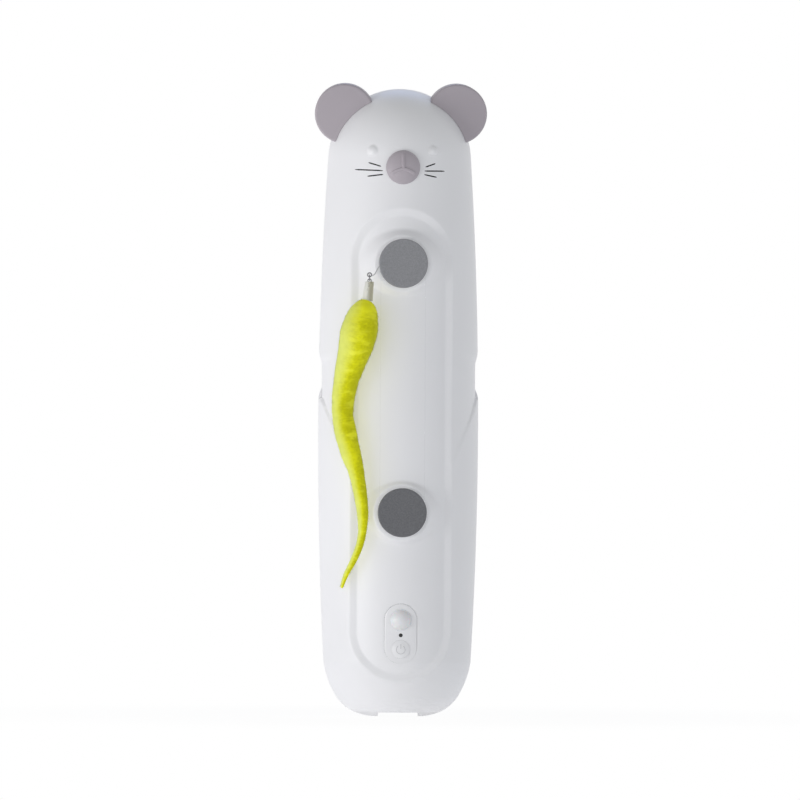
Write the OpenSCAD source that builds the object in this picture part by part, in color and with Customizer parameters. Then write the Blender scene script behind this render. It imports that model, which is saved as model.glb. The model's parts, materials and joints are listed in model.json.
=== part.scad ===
// Inchworm cat toy: a two-shell body with a string loop on two pulleys that carries a plush lure.
// Millimetres, +Z up, floor at z = 0, front towards -Y, body axis on the Z axis.

/* [Body] */
// Height of the dome's crown above the floor
crown_height = 366.8; // [350:0.1:390]
// Radius of the body at its widest level
body_radius = 46.8; // [45:0.1:52]
// Height of the widest level
belly_height = 168; // [150:1:190]
// Radius of the long arc down each side
side_arc = 2500; // [2200:10:4000]
// Radius of the arc round the foot
corner_arc = 55; // [50:1:62]
// Height where the foot arc turns upright
corner_height = 40; // [36:1:44]
// Radius of the tighter arc at the bottom edge
rim_arc = 24; // [20:0.5:28]
// Height where the tighter arc begins
rim_height = 12; // [10:0.5:14]
// Wall of both shells
wall = 3.6; // [3.2:0.1:4.2]
// Gap along the parting line of the shells
seam_gap = 0.2; // [0.1:0.05:0.4]

/* [Foot ring] */
// Height of the foot ring
foot_height = 2.3; // [1.5:0.1:4]
// Inner radius of the foot ring
foot_inner = 15; // [13:0.5:18]
// How far the ring tapers inwards to the floor
foot_taper = 3.2; // [1.5:0.1:4]
// Width of the gap at the front of the ring
foot_gap = 23.7; // [15:0.1:30]

/* [Side grips] */
// Depth of a grip at the parting line
grip_depth = 2; // [1:0.1:2.4]
// Lower edge at the parting line
grip_low = 186; // [176:1:192]
// Upper edge at the parting line
grip_high = 211; // [205:1:218]
// Distance from the middle where a grip runs out
grip_reach = 32.4; // [30:0.2:36]
// Lower edge where the grip runs out
grip_low_front = 153; // [145:1:165]
// Upper edge where the grip runs out
grip_high_front = 222; // [216:1:230]

/* [Track panel] */
// Half the width of the sunk track panel
track_half_width = 29.9; // [27:0.1:32]
// Height of the centre of its lower round end
track_low = 50.3; // [48:0.1:54]
// Centre of its upper round end above the upper pulley
track_rise = 2.3; // [0:0.1:6]
// Depth of the panel
track_depth = 1.6; // [1:0.1:2]
// Width of the step round its edge
track_step = 4.6; // [3:0.1:6]

/* [Pulleys] */
// Distance of the upper pulley below the crown
upper_drop = 102.1; // [96:0.1:108]
// Height of the lower pulley
lower_height = 119.4; // [116:0.1:124]
// Radius of the grey caps
cap_radius = 14.5; // [13.8:0.1:15.5]
// Thickness of a cap
cap_thickness = 2.2; // [1.6:0.1:3]
// Radius of the string's path round a pulley
string_path = 13.05; // [12.5:0.05:13.3]
// Diameter of the string
string_diameter = 0.4; // [0.3:0.05:0.6]
// Thickness of a pulley flange
flange_thickness = 0.8; // [0.6:0.1:1.2]
// Width of the groove at the rim
groove_width = 1.8; // [1.6:0.1:2.4]
// Height of a collar above the panel at the lower pulley
collar_rise = 2.9; // [2:0.1:4]
// Radius of a collar's flat face
collar_radius = 16.6; // [16:0.1:18]
// Slope of a collar's side, outwards for each mm inwards
collar_slope = 0.62; // [0.3:0.02:0.9]
// Radius of the shafts
shaft_radius = 2; // [1.6:0.1:2.4]
// Radius of the drive shaft's bush
bush_radius = 4; // [3.4:0.1:5]

/* [Face] */
// Radius of an ear
ear_radius = 17.5; // [15:0.1:20]
// Distance of an ear's centre from the middle
ear_offset = 32.7; // [30:0.1:36]
// Distance of an ear's centre below the crown
ear_drop = 14.4; // [11:0.1:18]
// Thickness of an ear
ear_thickness = 9; // [8:0.5:12]
// Chamfer around an ear's faces
ear_edge = 1.2; // [0.5:0.1:2]
// Distance of an ear's middle in front of the parting line
ear_forward = 11.4; // [9:0.1:14]
// Turn of an ear about its peg, so that it faces outwards and down
ear_turn = 7; // [4:0.5:12]
// Radius of the nose
nose_radius = 9.9; // [8:0.1:12]
// Distance of the nose below the crown
nose_drop = 46; // [42:0.1:50]
// How far the nose stands out in the middle
nose_bulge = 4.6; // [4.2:0.1:5.5]
// Radius of the pegs of the ears and nose
peg_radius = 3; // [2:0.1:4]
// Radius of an eye
eye_radius = 3; // [2:0.1:4]
// Distance of an eye from the middle
eye_offset = 17.7; // [15:0.1:20]
// Distance of the eyes below the crown
eye_drop = 36.6; // [33:0.1:39]
// How far an eye stands out
eye_bulge = 1.4; // [0.8:0.1:2]

/* [Control panel] */
// Half the width of the control panel
panel_half_width = 9.5; // [8.5:0.1:11]
// Height of the control panel
panel_length = 35; // [34:0.5:40]
// Height of its centre above the floor
panel_height = 48.7; // [47:0.1:51]
// Thickness of the control panel
panel_thickness = 1.2; // [0.8:0.1:1.4]
// Radius of the sensor lens
lens_radius = 6.2; // [5.4:0.1:6.6]
// Height of the sensor lens above the panel's centre
lens_rise = 8.1; // [7.6:0.1:9]
// How far the lens stands out
lens_bulge = 4.2; // [3:0.1:5]
// Wall of the lens
lens_wall = 0.8; // [0.6:0.1:1]
// Radius of the light pipe
pipe_radius = 1.1; // [0.8:0.1:1.3]
// Distance of the light pipe below the panel's centre
pipe_drop = 0.9; // [0.5:0.1:1.3]
// Radius of the power button
button_radius = 5.2; // [4.4:0.1:5.6]
// Distance of the power button below the panel's centre
button_drop = 9.1; // [8.8:0.1:10]
// How far the button stands out
button_bulge = 1.4; // [1:0.1:2]
// Travel of the button
button_travel = 0.5; // [0.3:0.05:0.8]
// Distance of the board behind the shell
board_setback = 7.2; // [6.8:0.1:9]
// Thickness of the boards
board_thickness = 1.6; // [1:0.1:2]
// Half the width of the control board
board_half_width = 14; // [13:0.5:16]
// Length of the control board
board_length = 50; // [48:0.5:54]

/* [Drive] */
// Module of the gears
gear_module = 0.6; // [0.5:0.01:0.62]
// Teeth of a wheel
wheel_teeth = 36; // [30:1:36]
// Teeth of a pinion
pinion_teeth = 12; // [12:1:14]
// Face width of the gears
gear_width = 3; // [2.5:0.1:3.4]
// Gap between gear levels
gear_gap = 0.5; // [0.4:0.1:0.8]
// Relief of each tooth flank
flank_relief = 0.06; // [0.04:0.01:0.1]
// Radius of the gear pins
pin_radius = 1; // [0.8:0.1:1.4]
// Thickness of the gear plates
plate_thickness = 2; // [1.6:0.1:2.6]
// Radius of the motor
motor_radius = 10; // [8:0.5:11]
// Length of the motor
motor_length = 25; // [20:1:30]
// Radius of the motor shaft
motor_shaft = 1; // [0.8:0.1:1.2]

/* [Power] */
// Radius of the battery cell
cell_radius = 9.1; // [7:0.1:10]
// Length of the battery cell
cell_length = 65; // [50:1:68]
// Height of the cell's lower end
cell_bottom = 45; // [44:1:52]
// Wall of the battery holder
holder_wall = 1.6; // [1.2:0.1:2.4]
// Gap between the holder and the rear shell
holder_setback = 8; // [6:0.5:10]
// Height of the charge port
port_height = 33; // [31:0.5:35]
// Width of the charge port
port_width = 8.9; // [8:0.1:10]
// Thickness of the charge port
port_thickness = 3.2; // [2.8:0.1:3.6]

/* [Case screws] */
// Distance of the upper screws from the middle
screw_upper_x = 27; // [24:0.5:29]
// Distance of the upper screws below the crown
screw_drop = 64.8; // [58:0.1:70]
// Distance of the lower screws from the middle
screw_lower_x = 29; // [26:0.5:31]
// Height of the lower screws
screw_lower_z = 70; // [64:1:80]
// Radius of a screw's shank
screw_radius = 1.5; // [1.2:0.1:1.8]
// Length of a screw's shank
screw_length = 16; // [12:1:20]
// Thickness of material under a screw's head
screw_seat = 6; // [4:0.5:8]
// Radius of the screw posts
post_radius = 4.4; // [4:0.1:5.2]

/* [Lure] */
// Height of the crimp on the string below the upper pulley
crimp_drop = 3.6; // [3.4:0.1:6]
// Length of the crimp
crimp_length = 3; // [2:0.1:4]
// Radius of the crimp
crimp_radius = 0.6; // [0.5:0.02:0.64]
// Distance from the string to the lure's line
lure_offset = 6.6; // [6.2:0.1:8]
// Radius of the small rings
ring_radius = 1; // [0.9:0.05:1.3]
// Half the side of their wire
wire_radius = 0.25; // [0.2:0.01:0.28]
// Straight length of the snap
snap_straight = 1.4; // [1.2:0.1:3]
// Radius of the lure's sleeve
sleeve_radius = 2.8; // [2.2:0.1:3.2]
// Lean of the sleeve towards the worm
sleeve_lean = 7; // [2:0.5:9]
// Length of the lure's sleeve
sleeve_length = 10.8; // [8:0.1:14]
// Gap between the worm and the body
worm_gap = 3; // [2.6:0.1:4]
// Sides of the worm's rings
worm_sides = 18; // [12:1:24]

/* [Fits] */
// Radial clearance of a running shaft
run_clear = 0.05; // [0.03:0.01:0.08]
// Radial clearance of a pressed or glued fit
press_clear = 0.02; // [0.01:0.005:0.03]
// Clearance round inserts and sliding pieces
slip_clear = 0.2; // [0.15:0.05:0.3]

/* [Hidden] */
$fn = 96;

// Body outline: a long side arc, a dome that runs into it and a foot arc
function side_r(z) = body_radius - side_arc + sqrt(pow(side_arc, 2) - pow(z - belly_height, 2));
function dome_step(r, n) = n == 0 ? r : dome_step(side_r(crown_height - r), n - 1);
dome_lap = 0.1;
dome_radius = dome_step(body_radius, 6) + dome_lap;
dome_z = crown_height - dome_radius;
corner_lap = 0.2;
corner_x = side_r(corner_height) - corner_arc + corner_lap;
function dome_r(z) = sqrt(max(0, pow(dome_radius, 2) - pow(max(0, z - dome_z), 2)));
function corner_r(z) = corner_x + sqrt(pow(corner_arc, 2) - pow(max(0, corner_height - z), 2));
rim_angle = asin((corner_height - rim_height) / corner_arc);
rim_lap = 0.1;
rim_x = corner_x + (corner_arc - rim_arc + rim_lap) * cos(rim_angle);
rim_z = corner_height - (corner_arc - rim_arc + rim_lap) * sin(rim_angle);
function rim_r(z) = rim_x + sqrt(pow(rim_arc, 2) - pow(rim_z - z, 2));
function foot_r(z) = z < rim_height ? min(rim_r(z), corner_r(z)) : corner_r(z);
function body_r(z) = min(side_r(z), z > dome_z ? dome_r(z) : z < corner_height ? foot_r(z) : side_r(z));
function inner_r(z) = body_r(z) - wall;
function floor_r(z) = body_r(z) - track_depth;

// Heights that follow the crown and the control panel
upper_height = crown_height - upper_drop;
track_high = upper_height + track_rise;
ear_height = crown_height - ear_drop;
nose_height = crown_height - nose_drop;
eye_height = crown_height - eye_drop;
screw_upper_z = crown_height - screw_drop;
lens_height = panel_height + lens_rise;
pipe_height = panel_height - pipe_drop;
button_height = panel_height - button_drop;

// Depth levels of the string drive, from the front of the collars outwards
collar_y = -floor_r(lower_height) - collar_rise;
pulley_gap = 0.4;
pulley_y = collar_y - pulley_gap;
pulley_thickness = 2 * flange_thickness + groove_width;
string_y = pulley_y - pulley_thickness / 2;
cap_y = pulley_y - pulley_thickness;
string_radius = string_diameter / 2;
groove_gap = 0.15;
groove_root = string_path - string_radius - groove_gap;
flange_radius = cap_radius - 0.3;
axle_head = 3.6;
axle_head_height = 1;

// Levels and places of the gear train
gear_centre = gear_module * (wheel_teeth + pinion_teeth) / 2;
train_angle = 35;
drive_at = [0, lower_height];
second_at = drive_at + gear_centre * [cos(train_angle), sin(train_angle)];
first_at = second_at + gear_centre * [-cos(train_angle), sin(train_angle)];
motor_at = first_at + gear_centre * [-cos(train_angle), sin(train_angle)];
frame_right = second_at[0] + gear_module * wheel_teeth / 2 + 2;
frame_left = -25;
frame_low = lower_height - gear_module * wheel_teeth / 2 - 3.2;
frame_high = motor_at[1] + 7;
frame_room = 0.6;
frame_y = frame_room - sqrt(pow(inner_r(frame_low), 2) - pow(max(frame_right, -frame_left), 2));
level_0 = frame_y + plate_thickness + gear_gap;
level_1 = level_0 + gear_width + gear_gap;
level_2 = level_1 + gear_width + gear_gap;
rear_plate_y = level_2 + gear_width + gear_gap;
spacer_radius = 3;
spacers = [[frame_left + 4.2, frame_low + 5], [frame_right - 5.5, frame_low + 3.6],
    [frame_right - 5, frame_high - 5], [frame_left + 4.2, first_at[1] - 3]];
frame_peg = 1.5;

// Levels and places of the control board
board_y = -inner_r(panel_height) + board_setback;
board_mid = panel_height + 2;
board_posts = [for (sx = [-1, 1]) for (sz = [-1, 1])
    [sx * (board_half_width - 3), board_mid + sz * (board_length / 2 - 3.5)]];
board_peg = 1.2;
board_post = 2.6;
insert_lip = 1.2;
lip_thickness = 0.8;
lip_gap = 0.15;
function lip_y(z, r) = lip_gap - sqrt(pow(inner_r(z), 2) - pow(r, 2));
button_lip_y = lip_y(button_height - button_radius - insert_lip, button_radius + insert_lip);
lens_lip_y = lip_y(lens_height - lens_radius - insert_lip, lens_radius + insert_lip);
pipe_lip = 0.3;
pipe_lip_y = lip_y(pipe_height, pipe_radius + pipe_lip);
stem_radius = 1.6;
plunger_length = 2.4;
plunger_radius = 1.75;
switch_side = 6.2;
switch_height = 3;
plunger_back = board_y - 0.9 - button_travel;
plunger_front = plunger_back - plunger_length;

// Battery and charge board
holder_back = inner_r(cell_bottom) - holder_setback;
cell_y = holder_back - holder_wall - slip_clear - cell_radius;
holder_half = cell_radius + slip_clear + holder_wall;
holder_low = cell_bottom - slip_clear - holder_wall;
holder_high = cell_bottom + cell_length + slip_clear + holder_wall;
holder_posts = [cell_bottom + cell_length * 0.2, cell_bottom + cell_length * 0.8];
charge_half = 9;
charge_length = 15;
charge_top = port_height - port_thickness / 2;
charge_back = sqrt(pow(inner_r(charge_top - board_thickness), 2) - pow(charge_half, 2)) - 0.5;
charge_post = 2.5;
port_back = body_r(port_height) - 0.5;
port_depth = 8;

screws = [[screw_upper_x, screw_upper_z], [-screw_upper_x, screw_upper_z],
    [screw_lower_x, screw_lower_z], [-screw_lower_x, screw_lower_z]];
screw_head = 2.8;
screw_head_height = 2;

// Ears and nose
ear_angle = atan2(ear_offset, ear_height - dome_z);
ear_root = sqrt(pow(dome_radius, 2) - pow(ear_forward, 2));
peg_depth = wall + 2;
nose_front = -body_r(nose_height) - nose_bulge;
nose_ball = 16;
nose_seat = press_clear + 0.13;
nose_low = nose_height - nose_radius - 1;

// The lure hangs from the crimp on the left run of the string
lure_x = -string_path - lure_offset;
crimp_top = upper_height - crimp_drop;
arm_z = crimp_top - crimp_length / 2;
ring_z = arm_z - 1.6;
snap_top = ring_z - ring_radius;
snap_low = snap_top - snap_straight;
eye_z = snap_low - ring_radius;
sleeve_top = eye_z - ring_radius;
sleeve_bottom = sleeve_top - sleeve_length;
// Rings of the worm: sideways from the lure's line, down from the sleeve, radius
worm_route = [[-1.2, 0, 3.1], [-1.9, 1.5, 4.8], [-2.8, 4.5, 7.5], [-4, 9, 9.6], [-5.4, 15, 10.9],
    [-6.9, 21, 11], [-8.5, 28, 10.2], [-10.6, 36, 9.1], [-13, 46, 7.8], [-14.8, 57, 7],
    [-15, 67, 6.7], [-13.4, 76, 6.8], [-10.6, 88, 6.3], [-7.6, 98, 5.2], [-5, 110, 4.3],
    [-3.4, 122, 3.7], [-3.2, 132, 2.9], [-4.6, 142, 2.4], [-8.4, 152, 2], [-12.4, 160, 1.6],
    [-14.6, 167, 1.1]];
worm_steps = 3;

module rod(at, y0, y1, r) {
    translate([at[0], y1, at[1]])
        rotate([90, 0, 0])
            cylinder(r = r, h = y1 - y0);
}

module facing(at, y) {
    translate([at[0], y, at[1]])
        rotate([90, 0, 0])
            children();
}

// Half outline of the body, drawn in by inset
module outline(inset) {
    intersection() {
        translate([body_radius - side_arc, belly_height])
            circle(r = side_arc - inset, $fn = 1200);
        union() {
            translate([0, dome_z])
                circle(r = dome_radius - inset);
            square([2 * body_radius, dome_z]);
        }
        union() {
            translate([corner_x, corner_height])
                circle(r = corner_arc - inset, $fn = 120);
            translate([0, corner_height])
                square([2 * body_radius, crown_height]);
        }
        union() {
            translate([rim_x, rim_z]) {
                circle(r = rim_arc - inset, $fn = 120);
                rotate(-rim_angle)
                    translate([-crown_height, 0])
                        square(2 * crown_height);
            }
            square([rim_x, crown_height]);
        }
        translate([0, foot_height + inset])
            square([2 * body_radius, crown_height]);
    }
}

module body_half(inset, side) {
    translate([0, side * seam_gap / 2, 0])
        rotate([0, 0, side < 0 ? 180 : 0])
            rotate_extrude(angle = 180, $fn = 144)
                outline(inset);
}

// Upright slot with round ends, cut from y0 forwards
module slot(half, low, high, y0, y1) {
    facing([0, 0], y1)
        linear_extrude(y1 - y0) {
            translate([0, low])
                circle(r = half);
            translate([0, high])
                circle(r = half);
            translate([-half, low])
                square([2 * half, high - low]);
        }
}

// What lies between two insets of the body, within a slot
module skin_slot(half, low, high, inset) {
    difference() {
        slot(half, low, high, -2 * body_radius, -body_radius / 3);
        body_half(inset, -1);
    }
}

module grip(side, hand) {
    x_side = side_r((grip_low + grip_high) / 2) - grip_depth;
    y_run = sqrt(pow(side_r(grip_low), 2) - pow(grip_reach, 2));
    shift = (pow(grip_reach, 2) + pow(y_run, 2) - pow(x_side, 2)) / (2 * y_run);
    low_slope = (grip_low - grip_low_front) / (body_radius - grip_reach);
    high_slope = (grip_high_front - grip_high) / (body_radius - grip_reach);
    x_in = grip_reach - 5;
    x_out = body_radius + 4;
    difference() {
        facing([0, 0], body_radius)
            linear_extrude(2 * body_radius)
                polygon([[hand * x_in, grip_low_front - 5 * low_slope],
                    [hand * x_out, grip_low + 4 * low_slope],
                    [hand * x_out, grip_high - 4 * high_slope],
                    [hand * x_in, grip_high_front + 5 * high_slope]]);
        translate([0, side * shift, 0])
            cylinder(r = sqrt(pow(x_side, 2) + pow(shift, 2)), h = crown_height, $fn = 180);
    }
}

module collar(z) {
    run = 12;
    facing([0, z], collar_y + run)
        cylinder(r1 = collar_radius + run * collar_slope, r2 = collar_radius, h = run);
}

module eye(side) {
    y = sqrt(pow(body_r(eye_height), 2) - pow(eye_offset, 2));
    ball = (pow(eye_radius, 2) + pow(eye_bulge, 2)) / (2 * eye_bulge);
    out = [side * eye_offset, -y, 0] / body_r(eye_height);
    translate([side * eye_offset, -y, eye_height] - out * (ball - eye_bulge))
        sphere(r = ball);
}

module ear_peg(side, r) {
    translate([0, -ear_forward, dome_z])
        rotate([0, side * ear_angle, 0])
            translate([0, 0, ear_root - peg_depth])
                cylinder(r = r, h = peg_depth + ear_radius / 2);
}

module front_hollow() {
    difference() {
        body_half(wall, -1);
        rod([0, upper_height], -body_radius, -inner_r(upper_height) + 5, 2.5 * shaft_radius);
        rod([0, lower_height], -body_radius, -inner_r(lower_height) + 2, bush_radius + 2.5);
        for (p = board_posts) {
            rod(p, -body_radius, board_y, board_post);
            rod(p, -body_radius, board_y + board_thickness + 0.6, board_peg);
        }
        for (p = spacers) {
            rod(p, -body_radius, frame_y, spacer_radius);
            rod(p, -body_radius, frame_y + plate_thickness, frame_peg);
        }
        for (p = screws)
            rod(p, -body_radius, 0, post_radius);
    }
}

module front_shell() color("white") {
    difference() {
        union() {
            difference() {
                body_half(0, -1);
                skin_slot(track_half_width, track_low, track_high, track_depth / 2);
                skin_slot(track_half_width - track_step, track_low, track_high, track_depth);
                grip(-1, 1);
                grip(-1, -1);
            }
            collar(upper_height);
            collar(lower_height);
            eye(1);
            eye(-1);
        }
        front_hollow();
        skin_slot(panel_half_width + slip_clear, panel_height - panel_length / 2 + panel_half_width,
            panel_height + panel_length / 2 - panel_half_width, track_depth + panel_thickness + slip_clear);
        rod([0, upper_height], -2 * body_radius, -inner_r(upper_height) + 3, shaft_radius + press_clear);
        rod([0, lower_height], -2 * body_radius, 0, bush_radius + press_clear);
        rod([0, lens_height], -2 * body_radius, 0, lens_radius + slip_clear);
        rod([0, pipe_height], -2 * body_radius, 0, pipe_radius + slip_clear);
        rod([0, button_height], -2 * body_radius, 0, button_radius + slip_clear);
        rod([0, nose_height], -2 * body_radius, 0, peg_radius + press_clear);
        ear_peg(1, peg_radius + press_clear);
        ear_peg(-1, peg_radius + press_clear);
        for (p = screws)
            rod(p, screw_seat - screw_length - 1, 1, screw_radius + press_clear);
    }
}

module back_hollow() {
    difference() {
        body_half(wall, 1);
        for (p = screws)
            rod(p, 0, body_radius, post_radius);
        for (z = holder_posts) {
            rod([0, z], holder_back, body_radius, 4);
            rod([0, z], holder_back - holder_wall + 0.2, body_radius, frame_peg);
        }
        for (sx = [-1, 1])
            translate([sx * (charge_half - 3), charge_back - charge_length / 2, 0])
                cylinder(r = charge_post, h = charge_top - board_thickness);
    }
}

module port_outline(clear) {
    half = port_thickness / 2 + clear;
    straight = port_width - port_thickness;
    for (s = [-1, 1])
        translate([s * straight / 2, 0])
            circle(r = half);
    square([straight, 2 * half], center = true);
}

module back_shell() color("white") {
    difference() {
        body_half(0, 1);
        grip(1, 1);
        grip(1, -1);
        back_hollow();
        for (p = screws) {
            rod(p, -1, screw_seat + 1, screw_radius + slip_clear);
            rod(p, screw_seat, 2 * body_radius, screw_head + slip_clear);
        }
        facing([0, port_height], 2 * body_radius)
            linear_extrude(2 * body_radius - port_back + port_depth)
                port_outline(slip_clear);
    }
}

module foot_ring() color("white") {
    outer = rim_r(foot_height);
    difference() {
        rotate_extrude($fn = 120)
            polygon([[foot_inner, 0], [outer - foot_taper, 0], [outer, foot_height],
                [foot_inner, foot_height]]);
        translate([-foot_gap / 2, -2 * outer, -1])
            cube([foot_gap, 2 * outer, foot_height + 2]);
    }
}

// A flat disc with chamfered rims, let into the dome
module ear(side) color("thistle") {
    half = ear_thickness / 2;
    difference() {
        translate([side * ear_offset, -ear_forward, ear_height])
            rotate([0, side * ear_angle, 0])
                rotate([0, 0, side * ear_turn])
                    rotate([90, 0, 0])
                        rotate_extrude($fn = 120)
                            polygon([[0, -half], [ear_radius - ear_edge, -half], [ear_radius, ear_edge - half],
                                [ear_radius, half - ear_edge], [ear_radius - ear_edge, half], [0, half]]);
        translate([0, -seam_gap / 2, dome_z])
            sphere(r = dome_radius + slip_clear, $fn = 144);
    }
    ear_peg(side, peg_radius);
}

module ear_left() ear(-1);

module ear_right() ear(1);

module nose_cap() color("thistle") {
    difference() {
        intersection() {
            rod([0, nose_height], -2 * body_radius, 0, nose_radius);
            translate([0, nose_front + nose_ball, nose_height])
                sphere(r = nose_ball);
        }
        translate([0, -seam_gap / 2, nose_low])
            cylinder(r1 = side_r(nose_low) + nose_seat, r2 = side_r(dome_z) + nose_seat,
                h = dome_z - nose_low, $fn = 144);
        translate([0, -seam_gap / 2, dome_z])
            sphere(r = dome_radius + nose_seat, $fn = 144);
    }
    rod([0, nose_height], nose_front + nose_bulge / 2, -inner_r(nose_height) + 2, peg_radius);
}

module control_panel() color("white") {
    difference() {
        intersection() {
            slot(panel_half_width, panel_height - panel_length / 2 + panel_half_width,
                panel_height + panel_length / 2 - panel_half_width, -2 * body_radius, -body_radius / 3);
            body_half(track_depth, -1);
        }
        body_half(track_depth + panel_thickness, -1);
        rod([0, lens_height], -2 * body_radius, 0, lens_radius + slip_clear);
        rod([0, pipe_height], -2 * body_radius, 0, pipe_radius + press_clear);
        rod([0, button_height], -2 * body_radius, 0, button_radius + slip_clear);
    }
}

module sensor_lens() color("white") {
    front = -floor_r(lens_height) - lens_bulge;
    mid = front + lens_radius;
    difference() {
        union() {
            translate([0, mid, lens_height])
                sphere(r = lens_radius);
            rod([0, lens_height], mid, lens_lip_y + lip_thickness, lens_radius);
            rod([0, lens_height], lens_lip_y, lens_lip_y + lip_thickness, lens_radius + insert_lip);
        }
        translate([0, mid, lens_height])
            sphere(r = lens_radius - lens_wall);
        rod([0, lens_height], mid, 0, lens_radius - lens_wall);
    }
}

module light_pipe() color("dimgray") {
    rod([0, pipe_height], -floor_r(pipe_height) - 0.2, board_y - 3.3, pipe_radius);
    rod([0, pipe_height], pipe_lip_y, pipe_lip_y + lip_thickness, pipe_radius + pipe_lip);
}

module power_button() color("white") {
    front = -floor_r(button_height) - button_bulge;
    ball = (pow(button_radius, 2) + pow(button_bulge, 2)) / (2 * button_bulge);
    intersection() {
        rod([0, button_height], 2 * front, button_lip_y + lip_thickness / 2, button_radius);
        translate([0, front + ball, button_height])
            sphere(r = ball, $fn = 180);
    }
    rod([0, button_height], button_lip_y, button_lip_y + lip_thickness, button_radius + insert_lip);
    rod([0, button_height], button_lip_y + lip_thickness / 2, plunger_front, stem_radius);
}

module switch_plunger() color("black")
    rod([0, button_height], plunger_front, plunger_back, plunger_radius);

module button_switch() color("dimgray") {
    difference() {
        translate([-switch_side / 2, board_y - switch_height, button_height - switch_side / 2])
            cube([switch_side, switch_height, switch_side]);
        rod([0, button_height], board_y - 2 * switch_height, plunger_back + button_travel + 0.2,
            plunger_radius + slip_clear);
    }
}

module control_board() color("green") {
    difference() {
        translate([-board_half_width, board_y, board_mid - board_length / 2])
            cube([2 * board_half_width, board_thickness, board_length]);
        for (p = board_posts)
            rod(p, board_y - 1, board_y + board_thickness + 1, board_peg + press_clear);
    }
}

module motion_sensor() color("silver") {
    rod([0, lens_height], board_y - 4.2, board_y, 4.1);
    rod([0, lens_height], board_y - 0.7, board_y, 4.6);
}

module indicator_led() color("gold") {
    rod([0, pipe_height], board_y - 3, board_y, 1.2);
}

// A tooth's half angle at radius r on a gear of n teeth
pressure = 20;
function rolled(a) = tan(a) * 180 / PI - a;
function tooth_half(r, n) = let (pitch = n * gear_module / 2, base = pitch * cos(pressure))
    90 / n - flank_relief / pitch * 180 / PI + rolled(pressure) - rolled(r > base ? acos(base / r) : 0);
function tooth_levels(n) = let (pitch = n * gear_module / 2, base = pitch * cos(pressure),
    root = pitch - gear_module, tip = pitch + 0.75 * gear_module, low = max(base, root + 0.02))
    [root, low, low + (tip - low) * 0.35, low + (tip - low) * 0.7, tip];
function mesh_phase(beta, n1, phase, n2) = beta + 180 - (0.5 - (beta - phase) * n1 / 360) * 360 / n2;

module teeth(n, phase, width) {
    levels = tooth_levels(n);
    last = len(levels) - 1;
    linear_extrude(width)
        polygon([for (k = [0 : n - 1]) for (i = [0 : 2 * last + 1])
            let (r = levels[i <= last ? i : 2 * last + 1 - i],
                a = phase + k * 360 / n + (i <= last ? -1 : 1) * tooth_half(r, n))
            r * [cos(a), sin(a)]]);
}

module drive_bush() color("darkkhaki") {
    difference() {
        rod([0, lower_height], collar_y + 0.2, -inner_r(lower_height) + 2.4, bush_radius);
        rod([0, lower_height], 2 * collar_y, 0, shaft_radius + run_clear);
    }
}

module drive_shaft() color("silver")
    rod(drive_at, cap_y + axle_head_height, rear_plate_y + plate_thickness, shaft_radius);

module pulley(z, clear) color("slategray") {
    facing([0, z], pulley_y)
        rotate_extrude($fn = 120)
            polygon([[shaft_radius + clear, 0], [flange_radius, 0], [flange_radius, flange_thickness * 0.6],
                [groove_root, flange_thickness + groove_width * 0.3],
                [groove_root, flange_thickness + groove_width * 0.7],
                [flange_radius, pulley_thickness - flange_thickness * 0.6],
                [flange_radius, pulley_thickness],
                [axle_head + slip_clear, pulley_thickness],
                [axle_head + slip_clear, pulley_thickness - axle_head_height - slip_clear],
                [shaft_radius + clear, pulley_thickness - axle_head_height - slip_clear]]);
}

module upper_pulley() pulley(upper_height, run_clear);

module lower_pulley() pulley(lower_height, press_clear);

module cap(z) color("dimgray") {
    facing([0, z], cap_y)
        rotate_extrude($fn = 120)
            polygon([[0, 0], [cap_radius, 0], [cap_radius, cap_thickness - 0.8],
                [cap_radius - 0.8, cap_thickness], [0, cap_thickness]]);
}

module upper_cap() cap(upper_height);

module lower_cap() cap(lower_height);

module upper_axle() color("silver") {
    rod([0, upper_height], cap_y + slip_clear, -inner_r(upper_height) + 3, shaft_radius);
    rod([0, upper_height], cap_y + slip_clear / 2, cap_y + axle_head_height, axle_head);
}

module string_loop() color("lightcyan") {
    facing([0, upper_height], string_y)
        rotate_extrude(angle = 180)
            translate([string_path, 0])
                circle(r = string_radius, $fn = 16);
    facing([0, lower_height], string_y)
        rotate([0, 0, 180])
            rotate_extrude(angle = 180)
                translate([string_path, 0])
                    circle(r = string_radius, $fn = 16);
    for (sx = [-1, 1])
        translate([sx * string_path, string_y, lower_height])
            cylinder(r = string_radius, h = upper_height - lower_height, $fn = 16);
}

module output_gear() color("white") {
    difference() {
        facing(drive_at, level_0 + gear_width)
            teeth(wheel_teeth, 0, gear_width);
        rod(drive_at, level_0 - 1, level_0 + gear_width + 1, shaft_radius + press_clear);
    }
}

module compound(at, level, phase) {
    difference() {
        union() {
            facing(at, level + gear_width)
                teeth(wheel_teeth, 0, gear_width);
            facing(at, level)
                teeth(pinion_teeth, phase, gear_width + gear_gap);
        }
        rod(at, level - 2 * gear_width, level + 2 * gear_width, pin_radius + run_clear);
    }
}

module second_gear() color("white")
    compound(second_at, level_1, mesh_phase(train_angle, wheel_teeth, 0, pinion_teeth));

module first_gear() color("white")
    compound(first_at, level_2, mesh_phase(180 - train_angle, wheel_teeth, 0, pinion_teeth));

module motor_pinion() color("goldenrod") {
    difference() {
        facing(motor_at, level_2 + gear_width)
            teeth(pinion_teeth, mesh_phase(180 - train_angle, wheel_teeth, 0, pinion_teeth), gear_width);
        rod(motor_at, level_2 - 1, level_2 + gear_width + 1, motor_shaft + press_clear);
    }
}

motor_bore = 8;
motor_boss = 3;

module motor_spindle() color("silver")
    rod(motor_at, level_2, rear_plate_y + plate_thickness + motor_bore - 0.3, motor_shaft);

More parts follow.
